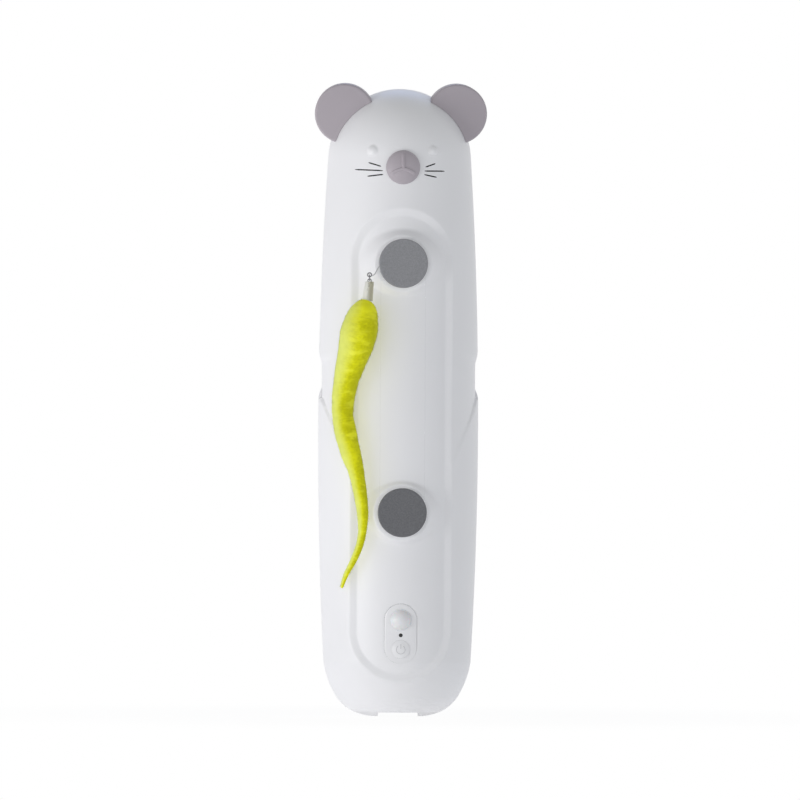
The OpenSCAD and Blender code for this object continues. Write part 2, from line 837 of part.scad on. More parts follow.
module motor() color("silver") {
    difference() {
        union() {
            rod(motor_at, rear_plate_y + plate_thickness, rear_plate_y + plate_thickness + motor_length,
                motor_radius);
            rod(motor_at, rear_plate_y + 0.4, rear_plate_y + plate_thickness, motor_boss);
        }
        rod(motor_at, rear_plate_y, rear_plate_y + plate_thickness + motor_bore, motor_shaft + run_clear);
    }
}

module gear_pin(at) color("silver")
    rod(at, frame_y + 0.4, rear_plate_y + plate_thickness - 0.2, pin_radius);

module second_pin() gear_pin(second_at);

module first_pin() gear_pin(first_at);

module plate(y) {
    translate([frame_left, y, frame_low])
        cube([frame_right - frame_left, plate_thickness, frame_high - frame_low]);
}

module gear_frame() color("gray") {
    difference() {
        union() {
            plate(frame_y);
            for (p = spacers)
                rod(p, frame_y + plate_thickness, rear_plate_y, spacer_radius);
        }
        rod(drive_at, frame_y - 1, level_0, shaft_radius + run_clear);
        for (p = [second_at, first_at])
            rod(p, frame_y + 0.4, level_0, pin_radius + press_clear);
        for (p = spacers)
            rod(p, frame_y - 1, frame_y + plate_thickness, frame_peg + press_clear);
    }
}

module gear_plate() color("gray") {
    difference() {
        plate(rear_plate_y);
        rod(drive_at, rear_plate_y - 1, rear_plate_y + plate_thickness + 1, shaft_radius + run_clear);
        for (p = [second_at, first_at])
            rod(p, rear_plate_y - 1, rear_plate_y + plate_thickness + 1, pin_radius + press_clear);
        rod(motor_at, rear_plate_y - 1, rear_plate_y + plate_thickness + 1, motor_boss + slip_clear);
    }
}

module battery_cell() color("steelblue")
    translate([0, cell_y, cell_bottom])
        cylinder(r = cell_radius, h = cell_length);

module battery_holder() color("black") {
    difference() {
        translate([-holder_half, cell_y, holder_low])
            cube([2 * holder_half, holder_back - cell_y, holder_high - holder_low]);
        translate([0, cell_y, cell_bottom - slip_clear])
            cylinder(r = cell_radius + slip_clear, h = cell_length + 2 * slip_clear);
        for (z = holder_posts)
            rod([0, z], cell_y, holder_back + 1, frame_peg + press_clear);
    }
}

module charge_board() color("green")
    translate([-charge_half, charge_back - charge_length, charge_top - board_thickness])
        cube([2 * charge_half, charge_length, board_thickness]);

module charge_port() color("silver") {
    facing([0, port_height], port_back)
        difference() {
            linear_extrude(port_depth)
                port_outline(0);
            translate([0, 0, -1])
                linear_extrude(port_depth - 0.4)
                    port_outline(-0.3);
        }
    translate([-3, port_back - port_depth + 0.4, port_height - 0.35])
        cube([6, port_depth - 1.4, 0.7]);
}

module case_screw(p) color("silver") {
    rod(p, screw_seat - screw_length, screw_seat, screw_radius);
    rod(p, screw_seat, screw_seat + screw_head_height, screw_head);
}

module case_screw_1() case_screw(screws[0]);

module case_screw_2() case_screw(screws[1]);

module case_screw_3() case_screw(screws[2]);

module case_screw_4() case_screw(screws[3]);

module wire_ring(z) {
    translate([lure_x, string_y, z])
        rotate([90, 0, 0])
            rotate_extrude($fn = 48)
                translate([ring_radius, 0])
                    square(2 * wire_radius, center = true);
}

crimp_bore = string_radius + 0.1;

module line_crimp() color("gray") {
    tie = [lure_x + ring_radius * 0.7, ring_z + ring_radius * 0.7];
    run = [-string_path - crimp_radius / 2, arm_z] - tie;
    difference() {
        union() {
            translate([-string_path, string_y, crimp_top - crimp_length])
                cylinder(r = crimp_radius, h = crimp_length, $fn = 32);
            translate([tie[0], string_y, tie[1]])
                rotate([0, 90 - atan2(run[1], run[0]), 0])
                    cylinder(r = wire_radius, h = norm(run), $fn = 16);
        }
        translate([-string_path, string_y, crimp_top - crimp_length - 1])
            cylinder(r = crimp_bore, h = crimp_length + 2, $fn = 24);
    }
    wire_ring(ring_z);
}

// Long link that joins the line's ring to the lure's eye
module snap_link() color("gray") {
    translate([lure_x, string_y, 0])
        rotate([0, 0, 90]) {
            for (end = [[snap_top, 0], [snap_low, 180]])
                translate([0, 0, end[0]])
                    rotate([90, end[1], 0])
                        rotate_extrude(angle = 180, $fn = 48)
                            translate([ring_radius, 0])
                                square(2 * wire_radius, center = true);
            for (s = [-1, 1])
                translate([s * ring_radius - wire_radius, -wire_radius, snap_low])
                    cube([2 * wire_radius, 2 * wire_radius, snap_straight]);
        }
}

// The sleeve's leaning axis, from the foot of the eye downwards
module down_sleeve() {
    translate([lure_x, string_y, sleeve_top])
        rotate([0, sleeve_lean, 0])
            children();
}

module lure_eye() color("gray") {
    wire_ring(eye_z);
    down_sleeve()
        translate([0, 0, 0.6 - sleeve_length])
            cylinder(r = wire_radius * 2, h = sleeve_length - 0.6, $fn = 24);
}

module lure_sleeve() color("khaki") {
    difference() {
        down_sleeve()
            translate([0, 0, -sleeve_length - 2])
                cylinder(r = sleeve_radius, h = sleeve_length + 1.3);
        down_sleeve()
            translate([0, 0, -sleeve_length - 3])
                cylinder(r = wire_radius * 2 + press_clear, h = sleeve_length + 4, $fn = 24);
        translate([lure_x - 10, string_y - 10, sleeve_bottom - 10])
            cube([20, 20, 10]);
    }
}

// The worm's middle line lies against the body's front, smoothed through the route's rings
function worm_y(x, z, r) = -sqrt(pow(body_r(z) + r + worm_gap, 2) - pow(x, 2));
function worm_point(p) = let (x = lure_x + p[0], z = sleeve_bottom - p[1])
    [x, p[1] < 2 ? string_y : min(worm_y(x, z, p[2]), string_y + p[1] / 12), z, p[2]];
worm_knots = [for (p = worm_route) worm_point(p)];
function between(a, b, c, d, t) = 0.5 * (2 * b + (c - a) * t + (2 * a - 5 * b + 4 * c - d) * t * t
    + (3 * b - a - 3 * c + d) * t * t * t);
worm_last = len(worm_knots) - 1;
worm_line = [for (i = [0 : worm_last - 1]) for (s = [0 : worm_steps - (i == worm_last - 1 ? 0 : 1)])
    between(worm_knots[max(i - 1, 0)], worm_knots[i], worm_knots[i + 1],
        worm_knots[min(i + 2, worm_last)], s / worm_steps)];
function unit(v) = v / norm(v);
function flat3(p) = [p[0], p[1], p[2]];

module lure_worm() color("yellowgreen") {
    rings = len(worm_line);
    points = [for (i = [0 : rings - 1])
        let (ahead = flat3(worm_line[min(i + 1, rings - 1)] - worm_line[max(i - 1, 0)]),
            run = i == 0 ? [0, 0, -1] : unit(ahead),
            across = unit(cross(run, [0, 1, 0])),
            over = cross(run, across))
        for (k = [0 : worm_sides - 1])
            flat3(worm_line[i]) + worm_line[i][3]
                * (cos(360 * k / worm_sides) * across + sin(360 * k / worm_sides) * over)];
    top = len(points);
    ends = concat(points, [flat3(worm_line[0]), flat3(worm_line[rings - 1]) - [0.3, 0, 0.9]]);
    faces = concat(
        [for (i = [0 : rings - 2]) for (k = [0 : worm_sides - 1]) for (h = [0, 1])
            let (a = i * worm_sides + k, b = i * worm_sides + (k + 1) % worm_sides)
            h == 0 ? [a, b, b + worm_sides] : [a, b + worm_sides, a + worm_sides]],
        [for (k = [0 : worm_sides - 1]) [top, (k + 1) % worm_sides, k]],
        [for (k = [0 : worm_sides - 1])
            [top + 1, (rings - 1) * worm_sides + k, (rings - 1) * worm_sides + (k + 1) % worm_sides]]);
    polyhedron(ends, faces);
}

front_shell();
back_shell();
foot_ring();
ear_left();
ear_right();
nose_cap();
control_panel();
sensor_lens();
light_pipe();
power_button();
switch_plunger();
control_board();
motion_sensor();
indicator_led();
button_switch();
upper_axle();
upper_pulley();
upper_cap();
string_loop();
drive_bush();
drive_shaft();
lower_pulley();
lower_cap();
output_gear();
second_gear();
first_gear();
motor_pinion();
motor_spindle();
second_pin();
first_pin();
gear_frame();
gear_plate();
motor();
battery_holder();
battery_cell();
charge_board();
charge_port();
case_screw_1();
case_screw_2();
case_screw_3();
case_screw_4();
line_crimp();
snap_link();
lure_eye();
lure_sleeve();
lure_worm();
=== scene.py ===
"""Looks of the inchworm cat toy: white moulded shells, mauve ears and nose, grey pulley caps, plush worm."""

import json
from math import asin, atan2, cos, hypot, pi, radians, sin, sqrt, tan

import bmesh
import bpy
import numpy as np
from mathutils import Matrix, Vector


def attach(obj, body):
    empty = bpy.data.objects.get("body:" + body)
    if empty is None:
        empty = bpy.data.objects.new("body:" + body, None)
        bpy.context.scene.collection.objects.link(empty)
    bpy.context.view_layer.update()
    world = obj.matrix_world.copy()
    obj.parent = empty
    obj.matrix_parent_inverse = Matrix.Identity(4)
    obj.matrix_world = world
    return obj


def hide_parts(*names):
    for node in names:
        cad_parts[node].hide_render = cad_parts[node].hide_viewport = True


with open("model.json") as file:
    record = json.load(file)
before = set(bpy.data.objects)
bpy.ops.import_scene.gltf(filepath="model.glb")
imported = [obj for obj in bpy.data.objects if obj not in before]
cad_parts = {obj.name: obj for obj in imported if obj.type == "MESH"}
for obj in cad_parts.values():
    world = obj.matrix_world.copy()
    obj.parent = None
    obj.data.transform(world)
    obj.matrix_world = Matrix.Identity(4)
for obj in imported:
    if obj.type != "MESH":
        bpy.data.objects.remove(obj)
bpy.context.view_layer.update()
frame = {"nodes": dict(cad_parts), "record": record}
MM = 0.001
FAR = 99.0

# Sizes in millimetres, as in the part's source
CROWN = 366.8
BODY_RADIUS = 46.8
BELLY = 168.0
SIDE_ARC = 2500.0
CORNER_ARC = 55.0
CORNER_HEIGHT = 40.0
CORNER_LAP = 0.2
RIM_ARC = 24.0
RIM_HEIGHT = 12.0
WALL = 3.6
HALF_SEAM = 0.1
FOOT_HEIGHT = 2.3
FOOT_INNER = 15.0
FOOT_HALF_GAP = 11.85
GRIP_DEPTH = 2.0
GRIP_MID = 198.5
GRIP_LOW = 186.0
GRIP_REACH = 32.4
GRIP_SPAN = 14.4
GRIP_FALL = 33.0
GRIP_CLIMB = 11.0
TRACK_HALF = 29.9
TRACK_LOW = 50.3
TRACK_HIGH = 267.0
TRACK_DEPTH = 1.6
TRACK_SLOPE = 4.6
UPPER = 264.7
LOWER = 119.4
UPPER_BORE = 2.02
LOWER_BORE = 4.02
COLLAR_Y = -47.628
COLLAR_RADIUS = 16.6
COLLAR_SLOPE = 0.62
CAP_Y = -51.428
CAP_THICKNESS = 2.2
PANEL_HALF = 9.5
PANEL_Z = 48.7
PANEL_LENGTH = 35.0
PANEL_THICKNESS = 1.2
PANEL_GAP = 0.1
PANEL_LOW = PANEL_Z - PANEL_LENGTH / 2 + PANEL_HALF
PANEL_HIGH = PANEL_Z + PANEL_LENGTH / 2 - PANEL_HALF
LENS_Z = 56.8
LENS_RADIUS = 6.2
LENS_BULGE = 4.2
PIPE_Z = 47.8
PIPE_HOLE = 1.13
BUTTON_Z = 39.6
BUTTON_RADIUS = 5.2
BUTTON_BULGE = 1.4
INSERT_BACK = -38.6
SLIP = 0.2
NOSE_Z = 320.8
NOSE_RADIUS = 9.9
NOSE_BULGE = 4.6
NOSE_BALL = 16.0
NOSE_GAP = 0.12
EYE_X = 17.7
EYE_Z = 330.2
EYE_RADIUS = 3.0
EYE_BULGE = 1.4
EAR_X = 32.7
EAR_Z = 352.4
EAR_RADIUS = 17.5
EAR_THICKNESS = 9.0
EAR_FORWARD = 11.4
EAR_TURN = 7.0
SCREWS = ((27, 302), (-27, 302), (29, 70), (-29, 70))
SCREW_SEAT = 6.0
SCREW_HOLE = 3.0
PORT_Z = 33.0
PORT_HALF = 2.85
PORT_ROUND = 1.8
STRING_PATH = 13.05
STRING_Y = -49.728
LURE_X = -19.65
EYE_LOOP_Z = 254.6
SLEEVE_TOP = 253.6
SLEEVE_BOTTOM = 242.8
SLEEVE_LEAN = 7.0

# Sizes of the scene alone, in millimetres: grip lines, roundings, reliefs, cap and pile
GRIP_LOW_LINE = 184.8
GRIP_HIGH_LINE = 215.0
GRIP_LIP = 2.6
GRIP_EASE = 0.2
GRIP_EDGE = 0.5
LEDGE_DEPTH = 0.8
LEDGE_SLOPE = 2.6
TRACK_EASE = 0.08
TRACK_SWELL = 0.35
TRACK_DIP = 0.2
COLLAR_END = 25.0
COLLAR_EDGE = 0.6
COLLAR_FILLET = 1.1
EYE_FILLET = 0.5
INSERT_FILLET = 1.1
LENS_SKIRT = 0.18
BUTTON_SKIRT = 0.16
SEAM_DEPTH = 0.28
SEAM_WIDTH = 0.9
CAP_RADIUS = 14.3
CUT_FRONT = -60.0
CUT_BACK = -20.0
HAIR_LENGTH = 0.8
HAIR_RADIUS = 0.075
HAIRS_PER_SQUARE_METRE = 1.1e6


# Node graphs: a wrapped socket does arithmetic, and one method makes every other node
class Sock:
    def __init__(self, graph, out):
        self.graph = graph
        self.out = out

    def beside(self, out):
        """Another output of the same node."""
        return Sock(self.graph, self.out.node.outputs[out])

    def math(self, operation, *values):
        return self.graph.node("ShaderNodeMath", {"operation": operation}, dict(enumerate(values)))

    def __add__(self, other):
        return self.math("ADD", self, other)

    def __radd__(self, other):
        return self.math("ADD", other, self)

    def __sub__(self, other):
        return self.math("SUBTRACT", self, other)

    def __rsub__(self, other):
        return self.math("SUBTRACT", other, self)

    def __mul__(self, other):
        return self.math("MULTIPLY", self, other)

    def __rmul__(self, other):
        return self.math("MULTIPLY", other, self)


class Graph:
    def __init__(self, tree):
        self.tree = tree

    def put(self, socket, value):
        if isinstance(value, Sock):
            self.tree.links.new(value.out, socket)
        else:
            socket.default_value = value

    def node(self, kind, settings=None, inputs=None, out=0):
        made = self.tree.nodes.new(kind)
        for key, value in (settings or {}).items():
            setattr(made, key, value)
        for key, value in (inputs or {}).items():
            self.put(made.inputs[key], value)
        return Sock(self, made.outputs[out]) if made.outputs else None


def rgba(colour):
    return (*colour, 1.0)


class Finish(Graph):
    """A procedural material on one Principled shader, read in the piece's own coordinates."""

    def __init__(self, name, **constants):
        self.material = bpy.data.materials.new(name)
        self.material.use_nodes = True
        super().__init__(self.material.node_tree)
        self.shader = self.tree.nodes["Principled BSDF"]
        for key, value in constants.items():
            self.shader.inputs[key.replace("_", " ")].default_value = value
        self.place = self.node("ShaderNodeTexCoord", out="Object")

    def set(self, socket, value):
        self.put(self.shader.inputs[socket], value)

    def noise(self, scale, detail=2.0, stretch=None):
        where = self.place
        if stretch:
            where = self.node("ShaderNodeMapping", None, {"Vector": self.place, "Scale": stretch})
        return self.node("ShaderNodeTexNoise", None, {"Vector": where, "Scale": scale, "Detail": detail})

    def blend(self, factor, low, high):
        return self.node("ShaderNodeMix", {"data_type": "RGBA"},
                         {"Factor": factor, "A": low if isinstance(low, Sock) else rgba(low),
                          "B": high if isinstance(high, Sock) else rgba(high)}, out=2)

    def band(self, value, low, high):
        return self.node("ShaderNodeMapRange", {"interpolation_type": "SMOOTHSTEP"},
                         {"Value": value, "From Min": low, "From Max": high})

    def bump(self, height, distance, strength=0.6):
        self.set("Normal", self.node("ShaderNodeBump", None,
                                     {"Height": height, "Distance": distance, "Strength": strength}))

    def axis(self, name, vector=None):
        return self.node("ShaderNodeSeparateXYZ", None, {"Vector": vector or self.place}, out=name)


# Finishes
def moulded(name, low, high, roughness, grain=900.0, lift=0.00002, **more):
    """Satin moulded plastic: slow tone drift, fine spark texture in gloss and relief."""
    made = Finish(name, **more)
    drift = made.noise(14.0, 3.0)
    spark = made.noise(grain, 2.0)
    made.set("Base Color", made.blend(made.band(drift, 0.3, 0.7), low, high))
    made.set("Roughness", roughness - 0.05 + 0.1 * spark)
    made.bump(spark + 0.5 * made.noise(grain * 3.1, 1.0), lift, 0.35)
    return made.material


def drawn_metal(name, low, high, roughness, scale=1200.0):
    """Metal with fine drawing lines along Z."""
    made = Finish(name, Metallic=1.0)
    lines = made.noise(scale, 3.0, (1.0, 1.0, 0.06))
    made.set("Base Color", made.blend(lines, low, high))
    made.set("Roughness", roughness + 0.15 * lines)
    made.bump(lines, 0.00001, 0.3)
    return made.material


def cap_finish():
    """Grey caps: metal-flake lacquer over a fine turned face, and painted light: the upper cap takes a paler
    copy of the grey than the lower one, for the light that falls on it.
    """
    made = Finish("cap_lacquer", Specular_IOR_Level=0.45)
    flake = made.noise(1500.0, 1.0)
    patch = made.noise(60.0, 3.0)
    # Painted light: one on the upper cap, which takes the paler copy of the grey, zero on the lower cap
    upper = made.band(made.axis("Z"), 0.17, 0.21)
    middle = (0.172, 0.175, 0.187)
    low = made.blend(flake, (0.082, 0.084, 0.09), middle)
    high = made.blend(flake, middle, (0.288, 0.292, 0.307))
    made.set("Base Color", made.blend(upper, low, high))
    made.set("Metallic", 0.25 + 0.15 * patch)
    made.set("Roughness", 0.4 + 0.12 * flake)
    made.bump(flake, 0.00002, 0.4)
    return made.material


def plush_finish(name, low, high, rib=None):
    """Short pile in yellow-green, with painted light: paler on the left flank that faces the lamp, brighter
    on faces turned upwards, and painted highlights in bands across it for light on its folds.
    """
    made = Finish(name, Roughness=0.7, Sheen_Weight=0.12, Sheen_Roughness=0.4,
                  Sheen_Tint=rgba((0.97, 1.0, 0.7)), Specular_IOR_Level=0.15)
    tuft = made.noise(620.0, 3.0)
    cloud = made.noise(70.0, 3.0)
    streak = made.noise(1500.0, 2.0, (0.25, 0.25, 1.0))
    fold = made.noise(230.0, 3.0, (0.4, 0.4, 1.0))
    lie = made.node("ShaderNodeAttribute", {"attribute_name": "lie"}, out="Vector")
    across = made.axis("X", lie)
    # Painted light: the tone lightens towards the left flank, which faces the lamp
    mixed = 0.45 * cloud + 0.25 * tuft + 0.15 * streak + 0.15 * fold - 0.12 * across
    tone = made.band(mixed, 0.36, 0.64)
    # Painted light: the left flank, which faces the lamp, is painted paler
    pale = made.band(0.6 * cloud - across, 0.25, 1.2)
    # Painted light: faces that turn upwards are painted brighter
    painted_top_light = made.band(0.5 * fold + made.axis("Z", lie), 0.35, 0.85)
    # Painted highlight: noise bands across the worm are painted brighter, for light caught on its folds
    painted_fold_highlight = 0.45 * made.band(fold, 0.52, 0.68)
    colour = made.blend(painted_fold_highlight, made.blend(tone, low, high), (0.95, 0.96, 0.06))
    colour = made.blend(painted_top_light, colour, (0.98, 0.98, 0.02))
    made.set("Base Color", made.blend(pale, colour, (0.74, 0.79, 0.17)))
    if rib:
        made.bump(streak + tuft * 0.6, 0.0003, rib)
    else:
        made.set("Normal", made.node("ShaderNodeVectorTransform", {
            "vector_type": "NORMAL", "convert_from": "OBJECT", "convert_to": "WORLD"}, {"Vector": lie}))
    return made.material


def clear_line():
    made = Finish("clear_line", Transmission_Weight=0.95, IOR=1.4)
    made.set("Base Color", made.blend(made.noise(800.0), (0.93, 0.95, 0.96), (0.98, 0.99, 1.0)))
    made.set("Roughness", 0.05 + 0.05 * made.noise(2000.0))
    made.set("Alpha", 0.08 + 0.06 * made.noise(500.0))
    return made.material


def tube_finish():
    """Milky soft tube, with painted shade: the side away from the lamp is painted a darker khaki."""
    made = Finish("milky_tube", Transmission_Weight=0.35, IOR=1.42)
    cloud = made.noise(260.0, 2.0, (1.0, 1.0, 0.3))
    # Painted shade: one on the right of the tube, away from the lamp, which is painted darker khaki
    painted_shade_side = made.band(made.axis("X") + 0.0015 * cloud, -0.0212, -0.0182)
    made.set("Base Color", made.blend(painted_shade_side, (0.86, 0.86, 0.83), (0.47, 0.45, 0.33)))
    made.set("Roughness", 0.22 + 0.14 * cloud)
    made.bump(cloud, 0.00003, 0.4)
    return made.material


def board_finish():
    made = Finish("solder_mask", Coat_Roughness=0.2)
    tracks = made.node("ShaderNodeTexBrick", None,
                       {"Vector": made.place, "Scale": 260.0, "Mortar Size": 0.04})
    made.set("Base Color", made.blend(tracks, (0.02, 0.12, 0.05), (0.05, 0.24, 0.1)))
    made.set("Roughness", 0.35 + 0.2 * made.noise(400.0))
    made.set("Coat Weight", 0.3 + 0.2 * made.noise(90.0))
    return made.material


FINISH = {
    "shell": moulded("shell_plastic", (0.795, 0.795, 0.81), (0.815, 0.815, 0.83), 0.42, 1100.0, 0.000012,
                     Specular_IOR_Level=0.5),
    "foot": moulded("foot_rubber", (0.74, 0.74, 0.755), (0.79, 0.79, 0.8), 0.62, 1500.0, 0.00003),
    "ear": moulded("mauve_plastic", (0.405, 0.368, 0.4), (0.43, 0.392, 0.425), 0.5, 1200.0, 0.000015,
                   Specular_IOR_Level=0.35),
    "panel": moulded("panel_plastic", (0.785, 0.785, 0.8), (0.81, 0.81, 0.825), 0.36, 1400.0, 0.000008),
    "lens": moulded("lens_milk", (0.74, 0.74, 0.755), (0.78, 0.78, 0.79), 0.3, 1800.0, 0.000008,
                    Subsurface_Weight=0.15, Subsurface_Scale=0.002),
    "dark": moulded("black_plastic", (0.008, 0.008, 0.009), (0.02, 0.02, 0.022), 0.35),
    "cap": cap_finish(),
    "pulley": moulded("pulley_plastic", (0.7, 0.7, 0.71), (0.76, 0.76, 0.77), 0.4),
    "gear": moulded("gear_plastic", (0.74, 0.73, 0.68), (0.8, 0.79, 0.74), 0.4),
    "steel": drawn_metal("bright_steel", (0.42, 0.42, 0.43), (0.62, 0.62, 0.63), 0.22),
    "wire": drawn_metal("dark_wire", (0.1, 0.1, 0.105), (0.26, 0.26, 0.27), 0.28, 3000.0),
    "brass": drawn_metal("sintered_brass", (0.5, 0.36, 0.14), (0.66, 0.5, 0.22), 0.35),
    "board": board_finish(),
    "cell": moulded("cell_sleeve", (0.05, 0.16, 0.36), (0.08, 0.22, 0.44), 0.3, 500.0),
    "string": clear_line(),
    "thread": moulded("grey_thread", (0.34, 0.34, 0.35), (0.46, 0.46, 0.47), 0.5, 3000.0),
    "sleeve": tube_finish(),
    "plush": plush_finish("plush_ground", (0.6, 0.6, 0.002), (0.86, 0.86, 0.008), 0.5),
    "pile": plush_finish("plush_pile", (0.62, 0.62, 0.002), (0.9, 0.9, 0.01)),
    "print": moulded("black_print", (0.004, 0.004, 0.0045), (0.012, 0.012, 0.013), 0.6, 2400.0,
                     Specular_IOR_Level=0.2),
    # The power sign's grey is painted shade: its raised strokes are of the button's own white, and the grey
    # stands for the shade along them
    "sign": moulded("grey_print", (0.55, 0.55, 0.565), (0.6, 0.6, 0.615), 0.5, 2400.0),
}

# Every solid of the frame takes the finish of its slot
for part in frame["record"]["subparts"]:
    shown = frame["nodes"][part["node"]]
    for place in shown.material_slots:
        place.material = FINISH[part["material_slot"]]


# Mesh helpers
def new_object(name, data):
    made = bpy.data.objects.new(name, data)
    bpy.context.scene.collection.objects.link(made)
    return made


def drawn(name, points, edges, faces):
    """An object from points in millimetres."""
    mesh = bpy.data.meshes.new(name)
    mesh.from_pydata((np.asarray(points, float) * MM).tolist(), edges, faces)
    mesh.update()
    return new_object(name, mesh)


def smooth(made, sharp):
    """Smooth shading, with an edge kept where faces meet at more than the given degrees."""
    made.data.shade_smooth()
    made.data.set_sharp_from_angle(angle=radians(sharp))


def outward(made):
    """Merges doubles and turns every face outwards."""
    work = bmesh.new()
    work.from_mesh(made.data)
    bmesh.ops.remove_doubles(work, verts=work.verts, dist=1e-7)
    bmesh.ops.recalc_face_normals(work, faces=work.faces)
    work.to_mesh(made.data)
    work.free()


def add_piece(name, points, faces, finish, sharp=40.0, turn_out=True):
    """A piece with its finish. Its faces are turned outwards, unless they already point so."""
    made = drawn(name, points, [], [list(map(int, f)) for f in faces])
    made.data.materials.append(FINISH[finish])
    if turn_out:
        outward(made)
    smooth(made, sharp)
    return made


def bake(made):
    """What the object's modifiers make becomes its plain mesh."""
    seen = made.evaluated_get(bpy.context.evaluated_depsgraph_get())
    mesh = bpy.data.meshes.new_from_object(seen)
    made.modifiers.clear()
    old = made.data
    made.data = mesh
    mesh.name = made.name
    bpy.data.meshes.remove(old)


def cut(made, cutter, operation="DIFFERENCE", sharp=40.0):
    """Takes the cutter's shape away, or keeps what both share, and removes the cutter."""
    change = made.modifiers.new("cut", "BOOLEAN")
    change.operation = operation
    change.solver = "EXACT"
    change.object = cutter
    bake(made)
    old = cutter.data
    bpy.data.objects.remove(cutter)
    bpy.data.meshes.remove(old)
    smooth(made, sharp)


def joined(*shapes):
    """Several point and face lists as one."""
    points = []
    faces = []
    for some, more in shapes:
        start = len(points)
        points.extend(np.asarray(some, float).tolist())
        faces.extend([[k + start for k in f] for f in more])
    return points, faces


def band_faces(first, count):
    """The faces between a ring of points, which starts at the first number, and the next ring."""
    return [[first + k, first + count + k, first + count + (k + 1) % count, first + (k + 1) % count]
            for k in range(count)]


def pole_to_pole(rings, count):
    """The faces of a closed form whose points run from a pole over some rings to another pole."""
    last = 1 + rings * count
    faces = [[0, 1 + k, 1 + (k + 1) % count] for k in range(count)]
    for j in range(rings - 1):
        faces += band_faces(1 + j * count, count)
    return faces + [[last, last - count + (k + 1) % count, last - count + k] for k in range(count)]


def circle(r, y, at, count):
    """A ring of points about an axis along Y."""
    turns = [2 * pi * k / count for k in range(count)]
    return [(at[0] + r * cos(t), y, at[1] + r * sin(t)) for t in turns]


def turned(profile, at, count=96):
    """A closed lathe form about an axis along Y. The profile runs (radius, y) from axis to axis."""
    points = [(at[0], profile[0][1], at[1])]
    for r, y in profile[1:-1]:
        points += circle(r, y, at, count)
    points.append((at[0], profile[-1][1], at[1]))
    return points, pole_to_pole(len(profile) - 2, count)


def ringed(profile, at, count=96):
    """A closed lathe ring about an axis along Y, from a closed profile of (radius, y)."""
    points = [p for r, y in profile for p in circle(r, y, at, count)]
    bands = [face for j in range(len(profile)) for face in band_faces(j * count, count)]
    return points, [[k % len(points) for k in face] for face in bands]


def rod(at, y0, y1, r, count=64):
    return turned([(0, y0), (r, y0), (r, y1), (0, y1)], at, count)


def arc(centre, radius, start, end, count):
    turns = [radians(start + (end - start) * k / count) for k in range(count + 1)]
    return [(centre[0] + radius * cos(t), centre[1] + radius * sin(t)) for t in turns]


def slot_prism(half, low, high, y0, y1, count=48):
    """An upright slot with round ends, between two depths."""
    ring = arc((0, high), half, 0, 180, count) + arc((0, low), half, 180, 360, count)
    points = [(x, y, z) for y in (y0, y1) for x, z in ring]
    n = len(ring)
    faces = [[k, (k + 1) % n, n + (k + 1) % n, n + k] for k in range(n)]
    faces += [list(range(n))[::-1], list(range(n, 2 * n))]
    return points, faces


def dressed(made, body, slot, *nodes):
    """Puts a piece on its body, in place of the solids that it stands for. The slot is not used."""
    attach(made, body)
    if nodes:
        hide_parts(*nodes)
    return made


# Body outline
def side_r(z):
    return BODY_RADIUS - SIDE_ARC + np.sqrt(SIDE_ARC ** 2 - (z - BELLY) ** 2)


SIDE_X = BODY_RADIUS - SIDE_ARC
RISE = CROWN - BELLY
DOME = (SIDE_ARC ** 2 - SIDE_X ** 2 - RISE ** 2) / (2 * (SIDE_ARC - RISE))
DOME_Z = CROWN - DOME
DOME_SWITCH = DOME_Z + 2.6
DOME_START = asin((DOME_Z - BELLY) / (SIDE_ARC - DOME))
DOME_JOIN = DOME_Z + DOME * sin(DOME_START)
CORNER_X = side_r(CORNER_HEIGHT) - CORNER_ARC + CORNER_LAP
RIM_ANGLE = asin((CORNER_HEIGHT - RIM_HEIGHT) / CORNER_ARC)
RIM_X = CORNER_X + (CORNER_ARC - RIM_ARC) * cos(RIM_ANGLE)
RIM_Z = CORNER_HEIGHT - (CORNER_ARC - RIM_ARC) * sin(RIM_ANGLE)
FLOOR_RADII = (0.0, 8.0, 14.0, 19.0, 22.5, 24.6)


def corner_r(z):
    """The body's radius in its rounded lower corner: a wide arc, then a tight one."""
    drop = np.clip(z - CORNER_HEIGHT, RIM_HEIGHT - CORNER_HEIGHT, 0)
    wide = CORNER_X + np.sqrt(CORNER_ARC ** 2 - drop ** 2)
    tight = RIM_X + np.sqrt(RIM_ARC ** 2 - np.clip(z - RIM_Z, -RIM_ARC, 0) ** 2)
    return np.where(np.asarray(z) < RIM_HEIGHT, tight, wide)


def body_r(z):
    """The body's radius at a height: corner, barrel side, dome."""
    z = np.asarray(z, float)
    dome = np.sqrt(np.maximum(DOME ** 2 - np.maximum(z - DOME_Z, 0) ** 2, 0))
    lower = np.minimum(side_r(z), np.where(z < CORNER_HEIGHT, corner_r(z), FAR))
    return np.where(z > DOME_SWITCH, dome, lower)


def front_y(x, z, depth=0.0):
    """The front shell's round face, or one that lies deeper, at a point of the front view."""
    return -np.sqrt((body_r(z) - depth) ** 2 - x ** 2) - HALF_SEAM


def floor_y(x, z):
    """The track's sunk floor at a point of the front view."""
    return front_y(x, z, TRACK_DEPTH)


def steps(*spans):
    """Levels from spans of (start, end, step)."""
    out = []
    for start, end, step in spans:
        count = max(1, round((end - start) / step))
        out.extend(start + (end - start) * k / count for k in range(count))
    out.append(spans[-1][1])
    return np.array(out)


